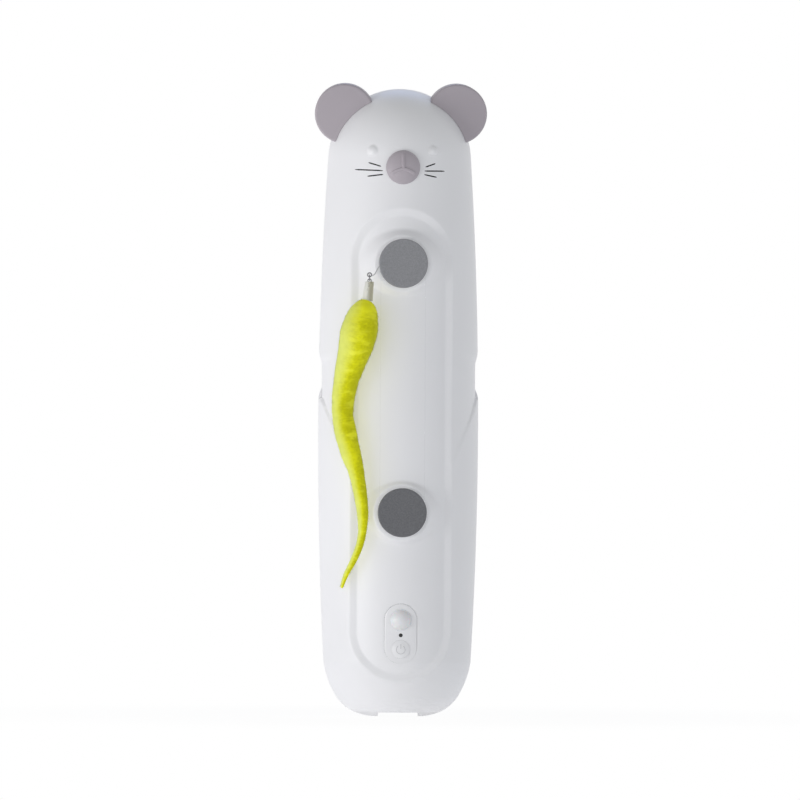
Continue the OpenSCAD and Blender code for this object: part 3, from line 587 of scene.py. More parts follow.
def outline_rows(levels, dome_turns):
    """Points and outward directions down the middle of a shell, from the floor's centre to the crown."""
    rows = [(r, FOOT_HEIGHT, 0.0, -1.0) for r in FLOOR_RADII]
    for z in levels:
        r = float(body_r(z))
        if r == float(side_r(z)):
            nr, nz = (r - SIDE_X) / SIDE_ARC, (z - BELLY) / SIDE_ARC
        elif z < RIM_HEIGHT:
            nr, nz = (r - RIM_X) / RIM_ARC, (z - RIM_Z) / RIM_ARC
        else:
            nr, nz = (r - CORNER_X) / CORNER_ARC, (z - CORNER_HEIGHT) / CORNER_ARC
        rows.append((r, z, nr, nz))
    for turn in dome_turns:
        rows.append((DOME * cos(turn), DOME_Z + DOME * sin(turn), cos(turn), sin(turn)))
    return np.array(rows)


# Shape of the shells' outer faces, as a field that is zero on the face
def soft_min(a, b, k):
    """The lesser of two fields, with a fillet between them."""
    t = np.clip(0.5 + 0.5 * (b - a) / k, 0, 1)
    return b + (a - b) * t - k * t * (1 - t)


def soft_max(a, b, k):
    return -soft_min(-a, -b, k)


def soft_ramp(t, ease):
    """Climbs from 0 to 1 over one unit, with rounded knees."""
    def knee(v):
        return np.where(v < -ease, 0, np.where(v > ease, v, (v + ease) ** 2 / (4 * ease)))
    return knee(t) - knee(t - 1)


def soft_step(t):
    t = np.clip(t, 0, 1)
    return t * t * (3 - 2 * t)


def capsule(x, z, low, high, half):
    """Distance from the edge of an upright slot, negative inside it."""
    return np.hypot(x, z - np.clip(z, low, high)) - half


GRIP_X = float(side_r(GRIP_MID)) - GRIP_DEPTH
GRIP_RUN = sqrt(float(side_r(GRIP_LOW)) ** 2 - GRIP_REACH ** 2)
GRIP_SHIFT = (GRIP_REACH ** 2 + GRIP_RUN ** 2 - GRIP_X ** 2) / (2 * GRIP_RUN)
GRIP_RADIUS = hypot(GRIP_X, GRIP_SHIFT)


def below_grip(across, z):
    """How far a point lies below the grip's lower line, which falls towards the front."""
    fall = (BODY_RADIUS - across) * GRIP_FALL
    return ((GRIP_LOW_LINE - z) * GRIP_SPAN - fall) / hypot(GRIP_FALL, GRIP_SPAN)


def above_grip(across, z):
    """How far a point lies above the grip's upper line, which climbs towards the front."""
    climb = (BODY_RADIUS - across) * GRIP_CLIMB
    return ((z - GRIP_HIGH_LINE) * GRIP_SPAN - climb) / hypot(GRIP_CLIMB, GRIP_SPAN)


def grip(x, y, z, side):
    """Inside the grip's cut where negative: a flared wedge outside a set-off cylinder, with sloping ends."""
    across = np.abs(x)
    flare = 4.0 if side > 0 else 1.5
    flare_start, flare_run, narrow, high_slope = 39, 6, 0.9, 8.0
    low_slope = narrow + flare * np.clip((across - flare_start) / flare_run, 0, 1) ** 2
    rise = GRIP_LIP * (1 - soft_ramp(-above_grip(across, z) / high_slope, GRIP_EASE))
    rise += GRIP_LIP * (1 - soft_ramp(-below_grip(across, z) / low_slope, GRIP_EASE))
    return GRIP_RADIUS + rise - np.hypot(x, y - side * GRIP_SHIFT)


def grip_ledge(x, z):
    """Depth of the shallow step that carries the grip's lower line on across the front."""
    run, inner_end, end_run = 20, 29, 4
    across = np.abs(x)
    over = -below_grip(across, z)
    fade = np.clip(1 - over / run, 0, 1) ** 2 * soft_step((across - inner_end) / end_run)
    return LEDGE_DEPTH * soft_ramp(over / LEDGE_SLOPE, GRIP_EASE) * fade


def track_lip(edge):
    """The rim around the track swells a little outside its slope and dips a little inside it."""
    swell_run, dip_run = 14, 8
    outside = TRACK_SWELL * np.clip(1 - edge / swell_run, 0, 1) ** 2
    inside = -TRACK_DIP * np.clip(1 + (edge + TRACK_SLOPE) / dip_run, 0, 1) ** 2
    slope = TRACK_SWELL + (TRACK_SWELL + TRACK_DIP) * edge / TRACK_SLOPE
    return np.where(edge > 0, outside, np.where(edge < -TRACK_SLOPE, inside, slope))


def seam_fade(z):
    """The panel's seam is deepest at its top and closes towards its foot."""
    least, start, run = 0.06, 33, 12
    return least + (1 - least) * soft_step((z - start) / run)


def front_field(x, y, z, h):
    """The front shell: track, grips, collars, eyes and the seam round the panel."""
    edge = capsule(x, z, TRACK_LOW, TRACK_HIGH, TRACK_HALF)
    field = h + TRACK_DEPTH * soft_ramp(-edge / TRACK_SLOPE, TRACK_EASE) - track_lip(edge)
    field = soft_max(field + grip_ledge(x, z), -grip(x, y, z, -1), GRIP_EDGE)
    for level in (UPPER, LOWER):
        reach = np.hypot(x, z - level)
        cone = (reach - COLLAR_RADIUS - COLLAR_SLOPE * (y - COLLAR_Y)) / hypot(1, COLLAR_SLOPE)
        cone = np.maximum(cone, reach - COLLAR_END)
        field = soft_min(field, soft_max(COLLAR_Y - y, cone, COLLAR_EDGE), COLLAR_FILLET)
    ball = (EYE_RADIUS ** 2 + EYE_BULGE ** 2) / (2 * EYE_BULGE)
    r = float(body_r(EYE_Z))
    sink = (r - ball + EYE_BULGE) / r
    eye_y = -sqrt(r * r - EYE_X ** 2) * sink
    for eye_x in (-EYE_X * sink, EYE_X * sink):
        away = np.sqrt((x - eye_x) ** 2 + (y - eye_y) ** 2 + (z - EYE_Z) ** 2)
        field = soft_min(field, away - ball, EYE_FILLET)
    rim = np.abs(capsule(x, z, PANEL_LOW, PANEL_HIGH, PANEL_HALF + PANEL_GAP))
    return field + SEAM_DEPTH * seam_fade(z) * np.clip(1 - rim / SEAM_WIDTH, 0, 1) ** 2


def back_field(x, y, z, h):
    """The back shell, round but for its grips."""
    return soft_max(h, -grip(x, y, z, 1), GRIP_EDGE)


def settle(rows, turns, field, shift):
    """The shell's outer points: each ray along an outline's normal is searched from outside."""
    r, z, nr, nz = (rows[:, k][:, None] for k in range(4))
    s, c = np.sin(turns)[None, :], -np.cos(turns)[None, :]
    furthest, deepest, stride, halvings = 8.5, -3.01, 0.5, 14

    def at(h):
        return (r + nr * h) * s, (r + nr * h) * c, z + nz * h

    low = np.full((len(rows), len(turns)), furthest + stride)
    found = np.zeros(low.shape, bool)
    for h in np.arange(furthest, deepest, -stride):
        inside = field(*at(h), h) < 0
        low = np.where(inside & ~found, h, low)
        found |= inside
    high = low + stride
    for _ in range(halvings):
        mid = (low + high) / 2
        inside = field(*at(mid), mid) < 0
        low = np.where(inside, mid, low)
        high = np.where(inside, high, mid)
    x, y, level = at((low + high) / 2)
    return np.stack([x, y + shift, np.broadcast_to(level, x.shape)], -1)


def half_shell(name, rows, turns, field, side):
    """A hollow half body: fine outer face, plain inner face and the rims between them."""
    shift = side * HALF_SEAM
    inner_columns = 19
    outer = settle(rows, turns, field, shift)
    few = np.linspace(turns[0], turns[-1], inner_columns)
    deep = np.maximum(rows[:, 0] - WALL * rows[:, 2], 0)
    level = rows[:, 1] - WALL * rows[:, 3]
    inner = np.stack([deep[:, None] * np.sin(few), -deep[:, None] * np.cos(few) + shift,
                      np.broadcast_to(level[:, None], (len(rows), len(few)))], -1)
    points = []

    def number(grid):
        index = np.zeros(grid.shape[:2], int)
        for j in range(len(grid)):
            if j in (0, len(grid) - 1):
                index[j] = len(points)
                points.append((0.0, shift, grid[j, 0, 2]))
            else:
                index[j] = np.arange(len(points), len(points) + grid.shape[1])
                points.extend(grid[j])
        return index

    def corners(*around):
        return list(dict.fromkeys(around))

    a, b = number(outer), number(inner)
    faces = []
    for index, flip in ((a, False), (b, True)):
        for j in range(len(index) - 1):
            for i in range(index.shape[1] - 1):
                ring = corners(index[j, i], index[j, i + 1], index[j + 1, i + 1], index[j + 1, i])
                faces.append(ring[::-1] if flip else ring)
    for j in range(len(a) - 1):
        faces.append(corners(a[j, 0], a[j + 1, 0], b[j + 1, 0], b[j, 0]))
        faces.append(corners(a[j, -1], b[j, -1], b[j + 1, -1], a[j + 1, -1]))
    return add_piece(name, points, faces, "shell", 50.0, turn_out=False)


def front_skin():
    """Columns lie close over the collars and the track's edge, and rows where the face turns most."""
    fine = np.arcsin(np.linspace(-22, 22, 75) / 46.0)
    edge = np.arcsin(np.linspace(22, 31, 15)[1:] / 46.0)
    rest = np.linspace(edge[-1], pi / 2, 41)[1:]
    turns = np.concatenate([-rest[::-1], -edge[::-1], fine, edge, rest])
    levels = steps((FOOT_HEIGHT, 12, 0.8), (12, 30, 1.0), (30, 68, 0.65), (68, 97, 1.4), (97, 141, 0.6),
                   (141, 152, 1.2), (152, 226, 0.85), (226, 242, 1.2), (242, 290, 0.6), (290, 300, 0.8),
                   (300, 325, 1.2), (325, DOME_JOIN, 0.5))
    first = DOME_START + 0.4 / DOME
    dome = steps((first, first + 7.6 / DOME, 0.45 / DOME), (first + 7.6 / DOME, pi / 2, 1.3 / DOME))
    made = half_shell("front_skin", outline_rows(levels, dome), turns, front_field, -1)
    bores = joined(slot_prism(PANEL_HALF + PANEL_GAP, PANEL_LOW, PANEL_HIGH, CUT_FRONT, CUT_BACK),
                   rod((0, UPPER), CUT_FRONT, CUT_BACK, UPPER_BORE),
                   rod((0, LOWER), CUT_FRONT, CUT_BACK, LOWER_BORE))
    cut(made, add_piece("bores", *bores, "shell"), sharp=50.0)
    return dressed(made, "body", "shell", "front_shell")


def back_skin():
    turns = np.linspace(pi / 2, 3 * pi / 2, 97)
    levels = steps((FOOT_HEIGHT, 40, 1.4), (40, 150, 2.2), (150, 226, 0.9), (226, DOME_JOIN, 2.2))
    dome = steps((DOME_START + 0.6 / DOME, pi / 2, 1.6 / DOME))
    made = half_shell("back_skin", outline_rows(levels, dome), turns, back_field, 1)
    holes = [rod(at, SCREW_SEAT, -CUT_FRONT, SCREW_HOLE, 48) for at in SCREWS]
    upright, sides = slot_prism(PORT_ROUND, -PORT_HALF, PORT_HALF, 30, -CUT_FRONT, 24)
    port = ([(z, y, x + PORT_Z) for x, y, z in upright], sides)
    cut(made, add_piece("holes", *joined(*holes, port), "shell"), sharp=50.0)
    return dressed(made, "body", "shell", "back_shell")


front_skin()
back_skin()


# Ears: flat discs with soft rims, turned outwards and let into the dome
def ear(side, name, node):
    half, ease, bulge, seat_gap = EAR_THICKNESS / 2, 1.3, 0.3, 0.15
    flat = EAR_RADIUS - ease
    face = [(r, half + bulge * (1 - (r / flat) ** 2)) for r in np.linspace(0, flat, 16)]
    face += arc((flat, half - ease), ease, 80, 0, 8)
    profile = [(r, -d) for r, d in face] + [(r, d) for r, d in face[::-1]]
    made = add_piece(name, *turned(profile, (0, 0), 128), "ear")
    lift = side * atan2(EAR_X, EAR_Z - DOME_Z)
    made.data.transform(Matrix.Translation(Vector((side * EAR_X, -EAR_FORWARD, EAR_Z)) * MM)
                        @ Matrix.Rotation(lift, 4, "Y") @ Matrix.Rotation(side * radians(EAR_TURN), 4, "Z"))
    ball = DOME + seat_gap
    rounds = [(ball * sin(pi * k / 96), -HALF_SEAM - ball * cos(pi * k / 96)) for k in range(1, 96)]
    seat = [(0, -HALF_SEAM - ball)] + rounds + [(0, -HALF_SEAM + ball)]
    cut(made, add_piece("dome", *turned(seat, (0, DOME_Z), 192), "ear"), sharp=45.0)
    return dressed(made, "body", "ear", node)


ear(-1, "ear_disc_left", "ear_left")
ear(1, "ear_disc_right", "ear_right")


# Nose: a domed button with a raised three-armed mouth line
def away_from(x, z, line):
    """Distance from a line of points in the front view."""
    best = np.full(np.shape(x), FAR)
    for (x0, z0), (x1, z1) in zip(line, line[1:]):
        dx, dz = x1 - x0, z1 - z0
        t = np.clip(((x - x0) * dx + (z - z0) * dz) / (dx * dx + dz * dz), 0, 1)
        best = np.minimum(best, np.hypot(x - x0 - t * dx, z - z0 - t * dz))
    return best


def nose_button():
    count = 144
    flat, edge_run, edge_drop = 8.2, 1.7, 0.75
    line_rise, line_half, line_slope, line_end = 0.75, 1.05, 0.55, 9.0
    stem_top, fork, arm_span, arm_fall = 7.4, -0.9, 6.4, 2.5
    front = -float(body_r(NOSE_Z)) - NOSE_BULGE
    lines = [[(0, stem_top), (0, fork)]]
    for side in (-1, 1):
        lines.append([(side * arm_span * t, fork - arm_fall * t ** 1.7) for t in np.linspace(0, 1, 12)])
    reach = np.concatenate([np.linspace(0.12, flat, 44), np.linspace(flat + 0.1, NOSE_RADIUS, 18)])
    turn = np.linspace(0, 2 * pi, count, endpoint=False)
    x, z = reach[:, None] * np.cos(turn), reach[:, None] * np.sin(turn)
    y = front + NOSE_BALL - np.sqrt(NOSE_BALL ** 2 - reach ** 2)
    y += edge_drop * np.clip((reach - flat) / edge_run, 0, 1) ** 2.4
    raised = np.zeros(x.shape)
    for line in lines:
        bar = soft_step((line_half - away_from(x, z, line)) / line_slope)
        raised = np.maximum(raised, bar * np.clip(line_end - reach[:, None], 0, 1))
    y = y[:, None] - line_rise * raised
    seat = front_y(x[-1], NOSE_Z + z[-1]) - NOSE_GAP
    rings = [np.stack([x[j], y[j], z[j] + NOSE_Z], -1) for j in range(len(reach))]
    for t in (0.3, 0.65, 1.0):
        rings.append(np.stack([x[-1], y[-1] + (seat - y[-1]) * t, z[-1] + NOSE_Z], -1))
    for t in (0.7, 0.35):
        bx, bz = x[-1] * t, z[-1] * t + NOSE_Z
        rings.append(np.stack([bx, front_y(bx, bz) - NOSE_GAP, bz], -1))
    points = [(0, front - line_rise, NOSE_Z)] + [tuple(p) for ring in rings for p in ring]
    points.append((0, float(front_y(0, NOSE_Z)) - NOSE_GAP, NOSE_Z))
    made = add_piece("nose_button", points, pole_to_pole(len(rings), count), "ear", 60.0)
    return dressed(made, "body", "ear", "nose_cap")


nose_button()


# Whiskers: thin printed strokes on the front shell
def whiskers():
    strokes = [((-20, 323.5), (-12.8, 321.3)), ((-27.7, 319.4), (-11.8, 318.8)),
               ((-20.6, 315.5), (-11.6, 316.6)), ((13.2, 321), (19.1, 323.1)),
               ((12.6, 318.7), (24.6, 318.7)), ((12.5, 316.6), (19.8, 315.1))]
    count, relief, tip_half, swell = 25, 0.05, 0.1, 0.34
    shapes = []
    for (x0, z0), (x1, z1) in strokes:
        dx, dz = x1 - x0, z1 - z0
        length = hypot(dx, dz)
        points = []
        for t in np.linspace(0, 1, count):
            half = tip_half + swell * min(1, 6 * min(t, 1 - t) + 0.25)
            for w, lift in ((-half, -relief), (-half * 0.7, relief), (half * 0.7, relief), (half, -relief)):
                px, pz = x0 + dx * t - dz / length * w, z0 + dz * t + dx / length * w
                points.append((px, float(front_y(px, pz)) - lift, pz))
        faces = []
        for k in range(count - 1):
            for m in range(4):
                n = (m + 1) % 4
                faces.append([4 * k + m, 4 * k + n, 4 * k + 4 + n, 4 * k + 4 + m])
        faces += [[0, 1, 2, 3], [4 * count - 1, 4 * count - 2, 4 * count - 3, 4 * count - 4]]
        shapes.append((points, faces))
    made = add_piece("whiskers", *joined(*shapes), "print", 60.0)
    return dressed(made, "body", "dark")


whiskers()


# Control panel, sensor lens and power button
def control_plate():
    """A block that follows the track's floor, cut to the panel's outline and bored for what it carries."""
    margin, edge_drop, edge_run, low_lap = 0.7, 0.3, 0.8, 0.07
    half, tall = PANEL_HALF + margin, PANEL_LENGTH / 2 + margin
    xs = np.linspace(-half, half, 69)
    zs = np.linspace(PANEL_Z - tall, PANEL_Z + tall, 122)
    x, z = np.meshgrid(xs, zs)
    inside = -capsule(x, z, PANEL_LOW, PANEL_HIGH, PANEL_HALF)
    front = floor_y(x, z) + edge_drop * seam_fade(z) * np.clip(1 - inside / edge_run, 0, 1) ** 2
    back = floor_y(x, z) + PANEL_THICKNESS
    grid = np.concatenate([np.stack([x, y, z], -1).reshape(-1, 3) for y in (front, back)])
    w, h, n = len(xs), len(zs), len(xs) * len(zs)
    faces = []
    for j in range(h - 1):
        for i in range(w - 1):
            k = j * w + i
            faces.append([k, k + 1, k + 1 + w, k + w])
            faces.append([n + k, n + k + w, n + k + 1 + w, n + k + 1])
    border = list(range(w)) + [j * w + w - 1 for j in range(1, h)]
    border += [(h - 1) * w + i for i in range(w - 2, -1, -1)] + [j * w for j in range(h - 2, 0, -1)]
    for p, q in zip(border, border[1:] + border[:1]):
        faces.append([p, n + p, n + q, q])
    made = add_piece("control_plate", grid, faces, "panel")
    mould = slot_prism(PANEL_HALF, PANEL_LOW - low_lap, PANEL_HIGH, CUT_FRONT, CUT_BACK)
    cut(made, add_piece("mould", *mould, "panel"), "INTERSECT")
    holes = joined(rod((0, LENS_Z), CUT_FRONT, CUT_BACK, LENS_RADIUS + SLIP, 96),
                   rod((0, PIPE_Z), CUT_FRONT, CUT_BACK, PIPE_HOLE, 48),
                   rod((0, BUTTON_Z), CUT_FRONT, CUT_BACK, BUTTON_RADIUS + SLIP, 96))
    cut(made, add_piece("holes", *holes, "panel"))
    return dressed(made, "body", "panel", "control_panel")


def swelling(name, level, radius, rise, finish):
    """A round form that swells out of the panel's face with a soft foot, closed behind."""
    count, edge, foot = 96, 1.4, 2.4
    flat = radius - edge
    reach = np.concatenate([np.linspace(0.1, flat, 26), np.linspace(flat + 0.1, radius, 18)])
    turn = np.linspace(0, 2 * pi, count, endpoint=False)
    x, z = reach[:, None] * np.cos(turn), level + reach[:, None] * np.sin(turn)
    face = np.broadcast_to(rise(reach)[:, None], x.shape)
    front = soft_min(face, floor_y(x, z), INSERT_FILLET)
    front = np.where(reach[:, None] < radius - foot, np.minimum(front, face), front)
    rings = [np.stack([x[j], front[j], z[j]], -1) for j in range(len(reach))]
    for t in (1.0, 0.5):
        rings.append(np.stack([x[-1] * t, np.full(count, INSERT_BACK), level + (z[-1] - level) * t], -1))
    points = [(0, float(rise(0.0)), level)] + [tuple(p) for ring in rings for p in ring]
    points.append((0, INSERT_BACK, level))
    return add_piece(name, points, pole_to_pole(len(rings), count), finish, 50.0)


def lens_face_y(reach):
    """The lens is a cap of a ball that stands out of the panel by the lens's bulge."""
    mid = -(float(body_r(LENS_Z)) - TRACK_DEPTH) - LENS_BULGE + LENS_RADIUS
    return mid - np.sqrt(np.maximum(LENS_RADIUS ** 2 - np.asarray(reach) ** 2, 0))


def button_face_y(reach):
    """The button is a flat cap of a large ball."""
    ball = (BUTTON_RADIUS ** 2 + BUTTON_BULGE ** 2) / (2 * BUTTON_BULGE)
    rise = -(float(body_r(BUTTON_Z)) - TRACK_DEPTH) - BUTTON_BULGE
    return rise + ball - np.sqrt(ball ** 2 - np.asarray(reach) ** 2)


control_plate()
dressed(swelling("sensor_dome", LENS_Z, LENS_RADIUS + LENS_SKIRT, lens_face_y, "lens"),
        "body", "lens", "sensor_lens")
dressed(swelling("button_cap", BUTTON_Z, BUTTON_RADIUS + BUTTON_SKIRT, button_face_y, "panel"),
        "button", "panel", "power_button")


# Geometry Nodes trees: each has its sizes as named inputs
class ShapeTree(Graph):
    def __init__(self, name, ground, result, sizes):
        super().__init__(bpy.data.node_groups.new(name, "GeometryNodeTree"))
        face = self.tree.interface
        face.new_socket(ground, in_out="INPUT", socket_type="NodeSocketGeometry")
        self.keys = [face.new_socket(label, in_out="INPUT", socket_type="NodeSocket" + kind).identifier
                     for label, kind in sizes]
        face.new_socket(result, in_out="OUTPUT", socket_type="NodeSocketGeometry")
        start = self.node("NodeGroupInput")
        self.given = [start.beside(k) for k in range(len(sizes) + 1)]

    def close(self, shape, finish):
        shape = self.node("GeometryNodeRealizeInstances", None, {"Geometry": shape})
        shape = self.node("GeometryNodeSetMaterial", None, {"Geometry": shape, "Material": finish})
        self.node("NodeGroupOutput", None, {0: shape})

    def on(self, made, *sizes):
        """The object's mesh becomes what the tree makes of it."""
        change = made.modifiers.new(self.tree.name, "NODES")
        change.node_group = self.tree
        for key, size in zip(self.keys, sizes):
            change[key] = size
        bake(made)
        return made


def wire_tree():
    """A round wire along a path."""
    g = ShapeTree("wire_on_path", "Path", "Wire",
                  [("Wire radius", "Float"), ("Wire sides", "Int"), ("Finish", "Material")])
    path, radius, sides, finish = g.given
    line = g.node("GeometryNodeMeshToCurve", None, {"Mesh": path})
    section = g.node("GeometryNodeCurvePrimitiveCircle", None, {"Resolution": sides, "Radius": radius})
    shape = g.node("GeometryNodeCurveToMesh", None,
                   {"Curve": line, "Profile Curve": section, "Fill Caps": True})
    g.close(g.node("GeometryNodeSetShadeSmooth", None, {"Geometry": shape}), finish)
    return g


WIRE = wire_tree()


def wire(name, paths, radius, finish, sides=12):
    """One piece of wire, along open paths, or closed ones where the last point repeats the first."""
    points = []
    edges = []
    for path in paths:
        start = len(points)
        closed = hypot(*(np.asarray(path[0]) - np.asarray(path[-1]))) < 1e-6
        run = path[:-1] if closed else path
        points.extend(run)
        edges.extend((start + k, start + k + 1) for k in range(len(run) - 1))
        if closed:
            edges.append((start + len(run) - 1, start))
    made = WIRE.on(drawn(name, points, edges, []), radius * MM, sides, FINISH[finish])
    outward(made)
    smooth(made, 50.0)
    return made


# The power sign: raised strokes on the button, drawn in a grey that is painted shade
def power_sign():
    reach, drop, sunk, wire_radius = 2.5, 0.2, 0.04, 0.2

    def on_button(x, z):
        return (x, float(button_face_y(hypot(x, z))) + sunk, BUTTON_Z + z)

    turns = np.linspace(radians(125), radians(415), 49)
    ring = [on_button(reach * cos(t), reach * sin(t) - drop) for t in turns]
    bar = [on_button(0, z) for z in np.linspace(0.2, 3.0, 9)]
    return dressed(wire("power_sign", [ring, bar], wire_radius, "sign", 8), "button", "panel")


power_sign()


# Foot ring: a shallow tapered ring, open at the front, with a low notch at the back
def foot_rim():
    ease, crowned, notch_half, notch_edge, notch_height = 0.45, 8.6, 15, 0.8, 1.7
    outer = float(corner_r(FOOT_HEIGHT))
    profile = [(FOOT_INNER, FOOT_HEIGHT)]
    profile += arc((FOOT_INNER + ease, ease), ease, 180, 270, 5)
    profile += [(outer - crowned + crowned * t, FOOT_HEIGHT * t ** 1.35) for t in np.linspace(0, 1, 15)]
    rows = len(profile)
    turns = 240
    points = []
    for k in range(turns + 1):
        for r, z in profile:
            start = asin(FOOT_HALF_GAP / r)
            turn = start + (2 * pi - 2 * start) * k / turns
            notch = np.clip((notch_half - abs(r * sin(turn))) / notch_edge, 0, 1) * (cos(turn) < 0)
            points.append((r * sin(turn), -r * cos(turn), max(z, notch_height * notch)))
    faces = [face for k in range(turns) for face in band_faces(k * rows, rows)]
    faces += [list(range(rows)), [turns * rows + j for j in range(rows)][::-1]]
    made = add_piece("foot_rim", points, faces, "foot")
    return dressed(made, "body", "foot", "foot_ring")


foot_rim()


# Pulley caps: turned grey discs with a soft edge and a shallow dished face
def pulley_cap(name, level, body, node):
    ease, dish, back_edge = 0.7, 0.18, 0.2
    front, flat = CAP_Y - CAP_THICKNESS, CAP_RADIUS - ease
    profile = [(0, CAP_Y), (CAP_RADIUS - back_edge, CAP_Y), (CAP_RADIUS, CAP_Y - back_edge)]
    profile += [(flat + ease * cos(t), front + ease - ease * sin(t)) for t in np.linspace(0, pi / 2, 9)]
    profile += [(r, front + dish * (1 - (r / flat) ** 2)) for r in np.linspace(flat, 0, 24)[1:]]
    made = add_piece(name, *turned(profile, (0, level), 128), "cap")
    return dressed(made, body, "cap", node)


pulley_cap("cap_upper", UPPER, "idler", "upper_cap")
pulley_cap("cap_lower", LOWER, "drive", "lower_cap")


# Line, ring, snap and eye above the lure
def loop(centre, radius, count=40):
    points = circle(radius, centre[1], (centre[0], centre[2]), count)
    return points + points[:1]


def line_parts():
    bead_z, ring_z, snap_top, snap_low, stem_length = 259.3, 258.0, 257.0, 255.6, 10.2
    ring_wire, link_wire, thread_radius = 0.33, 0.28, 0.3
    ring_radius, link_radius = 1.15, 1.0
    profile = [(0, 0), (0.25, 0), (0.45, 0.25), (0.5, 0.6), (0.5, 1.2), (0.45, 1.55), (0.25, 1.8), (0, 1.8)]
    points, faces = turned(profile, (0, 0), 32)
    points = [(x - STRING_PATH, STRING_Y + z, bead_z + y) for x, y, z in points]
    dressed(add_piece("crimp_bead", points, faces, "steel"), "carrier", "steel", "line_crimp")
    dressed(wire("line_ring", [loop((LURE_X, STRING_Y, ring_z), ring_radius)], ring_wire, "wire"),
            "carrier", "steel")
    thread = [(-STRING_PATH, 261.0), (-13.2, 262.6), (-14.1, 262.9), (-15.0, 261.4),
              (-16.5, 258.6), (-17.6, 257.7), (-18.75, 257.5)]
    thread = [(x, STRING_Y, z) for x, z in thread]
    dressed(wire("tie_thread", [thread], thread_radius, "thread", 10), "carrier", "string")
    link = arc((0, snap_top), link_radius, 0, 180, 20) + arc((0, snap_low), link_radius, 180, 360, 20)
    link = [(LURE_X, STRING_Y + y, z) for y, z in link]
    dressed(wire("snap_wire", [link + link[:1]], link_wire, "wire"), "snap", "steel", "snap_link")
    lean = radians(SLEEVE_LEAN)
    stem = [(LURE_X - t * sin(lean), STRING_Y, SLEEVE_TOP - t * cos(lean))
            for t in np.linspace(0, stem_length, 8)]
    eye = loop((LURE_X, STRING_Y, EYE_LOOP_Z), link_radius)
    dressed(wire("eye_wire", [eye, stem], link_wire, "wire"), "lure", "steel", "lure_eye")


def soft_tube():
    bore, neck, flare, shoulder, ease = 0.55, 2.6, 0.6, 0.8, 0.5
    top = SLEEVE_TOP + 0.4
    profile = [(bore, top), (2.0, top)] + arc((neck - ease, top - ease), ease, 80, 0, 6)
    profile += [(neck + flare * t, top - shoulder + (SLEEVE_BOTTOM - top + shoulder) * t)
                for t in np.linspace(0, 1, 12)]
    profile.append((bore, SLEEVE_BOTTOM))
    points, faces = ringed(profile, (0, 0), 64)
    lean = tan(radians(SLEEVE_LEAN))
    points = [(x + LURE_X - (SLEEVE_TOP - y) * lean, z + STRING_Y, y) for x, y, z in points]
    return dressed(add_piece("soft_tube", points, faces, "sleeve"), "lure", "sleeve", "lure_sleeve")


line_parts()
soft_tube()


# Plush worm: rings along the route of the source, ribbed and uneven, then a short pile
WORM = [(-1.2, 0, 3.1), (-1.9, 1.5, 4.8), (-2.8, 4.5, 7.5), (-4, 9, 9.6), (-5.4, 15, 10.9),
        (-6.9, 21, 11), (-8.5, 28, 10.2), (-10.6, 36, 9.1), (-13, 46, 7.8), (-14.8, 57, 7),
        (-15, 67, 6.7), (-13.4, 76, 6.8), (-10.6, 88, 6.3), (-7.6, 98, 5.2), (-5, 110, 4.3),
        (-3.4, 122, 3.7), (-3.2, 132, 2.9), (-4.6, 142, 2.4), (-8.4, 152, 2), (-12.4, 160, 1.6),
        (-14.6, 167, 1.1)]
WORM_GAP = 3.0


def worm_line(count):
    """The route's points and radii, on a smooth curve through the knots, clear of the body."""
    knots = []
    for sideways, down, r in WORM:
        x, z = LURE_X + sideways, SLEEVE_BOTTOM - down
        y = STRING_Y
        if down >= 2:
            y = min(-sqrt((float(body_r(z)) + r + WORM_GAP) ** 2 - x * x), STRING_Y + down / 12)
        knots.append((x, y, z, r))
    knots = np.array(knots)
    last = len(knots) - 1
    out = []
    for i in range(last):
        a, b, c, d = (knots[min(max(i + k, 0), last)] for k in (-1, 0, 1, 2))
        for t in np.linspace(0, 1, count, endpoint=False):
            out.append(0.5 * (2 * b + (c - a) * t + (2 * a - 5 * b + 4 * c - d) * t ** 2
                              + (3 * b - a - 3 * c + d) * t ** 3))
    out.append(knots[-1])
    return np.array(out)


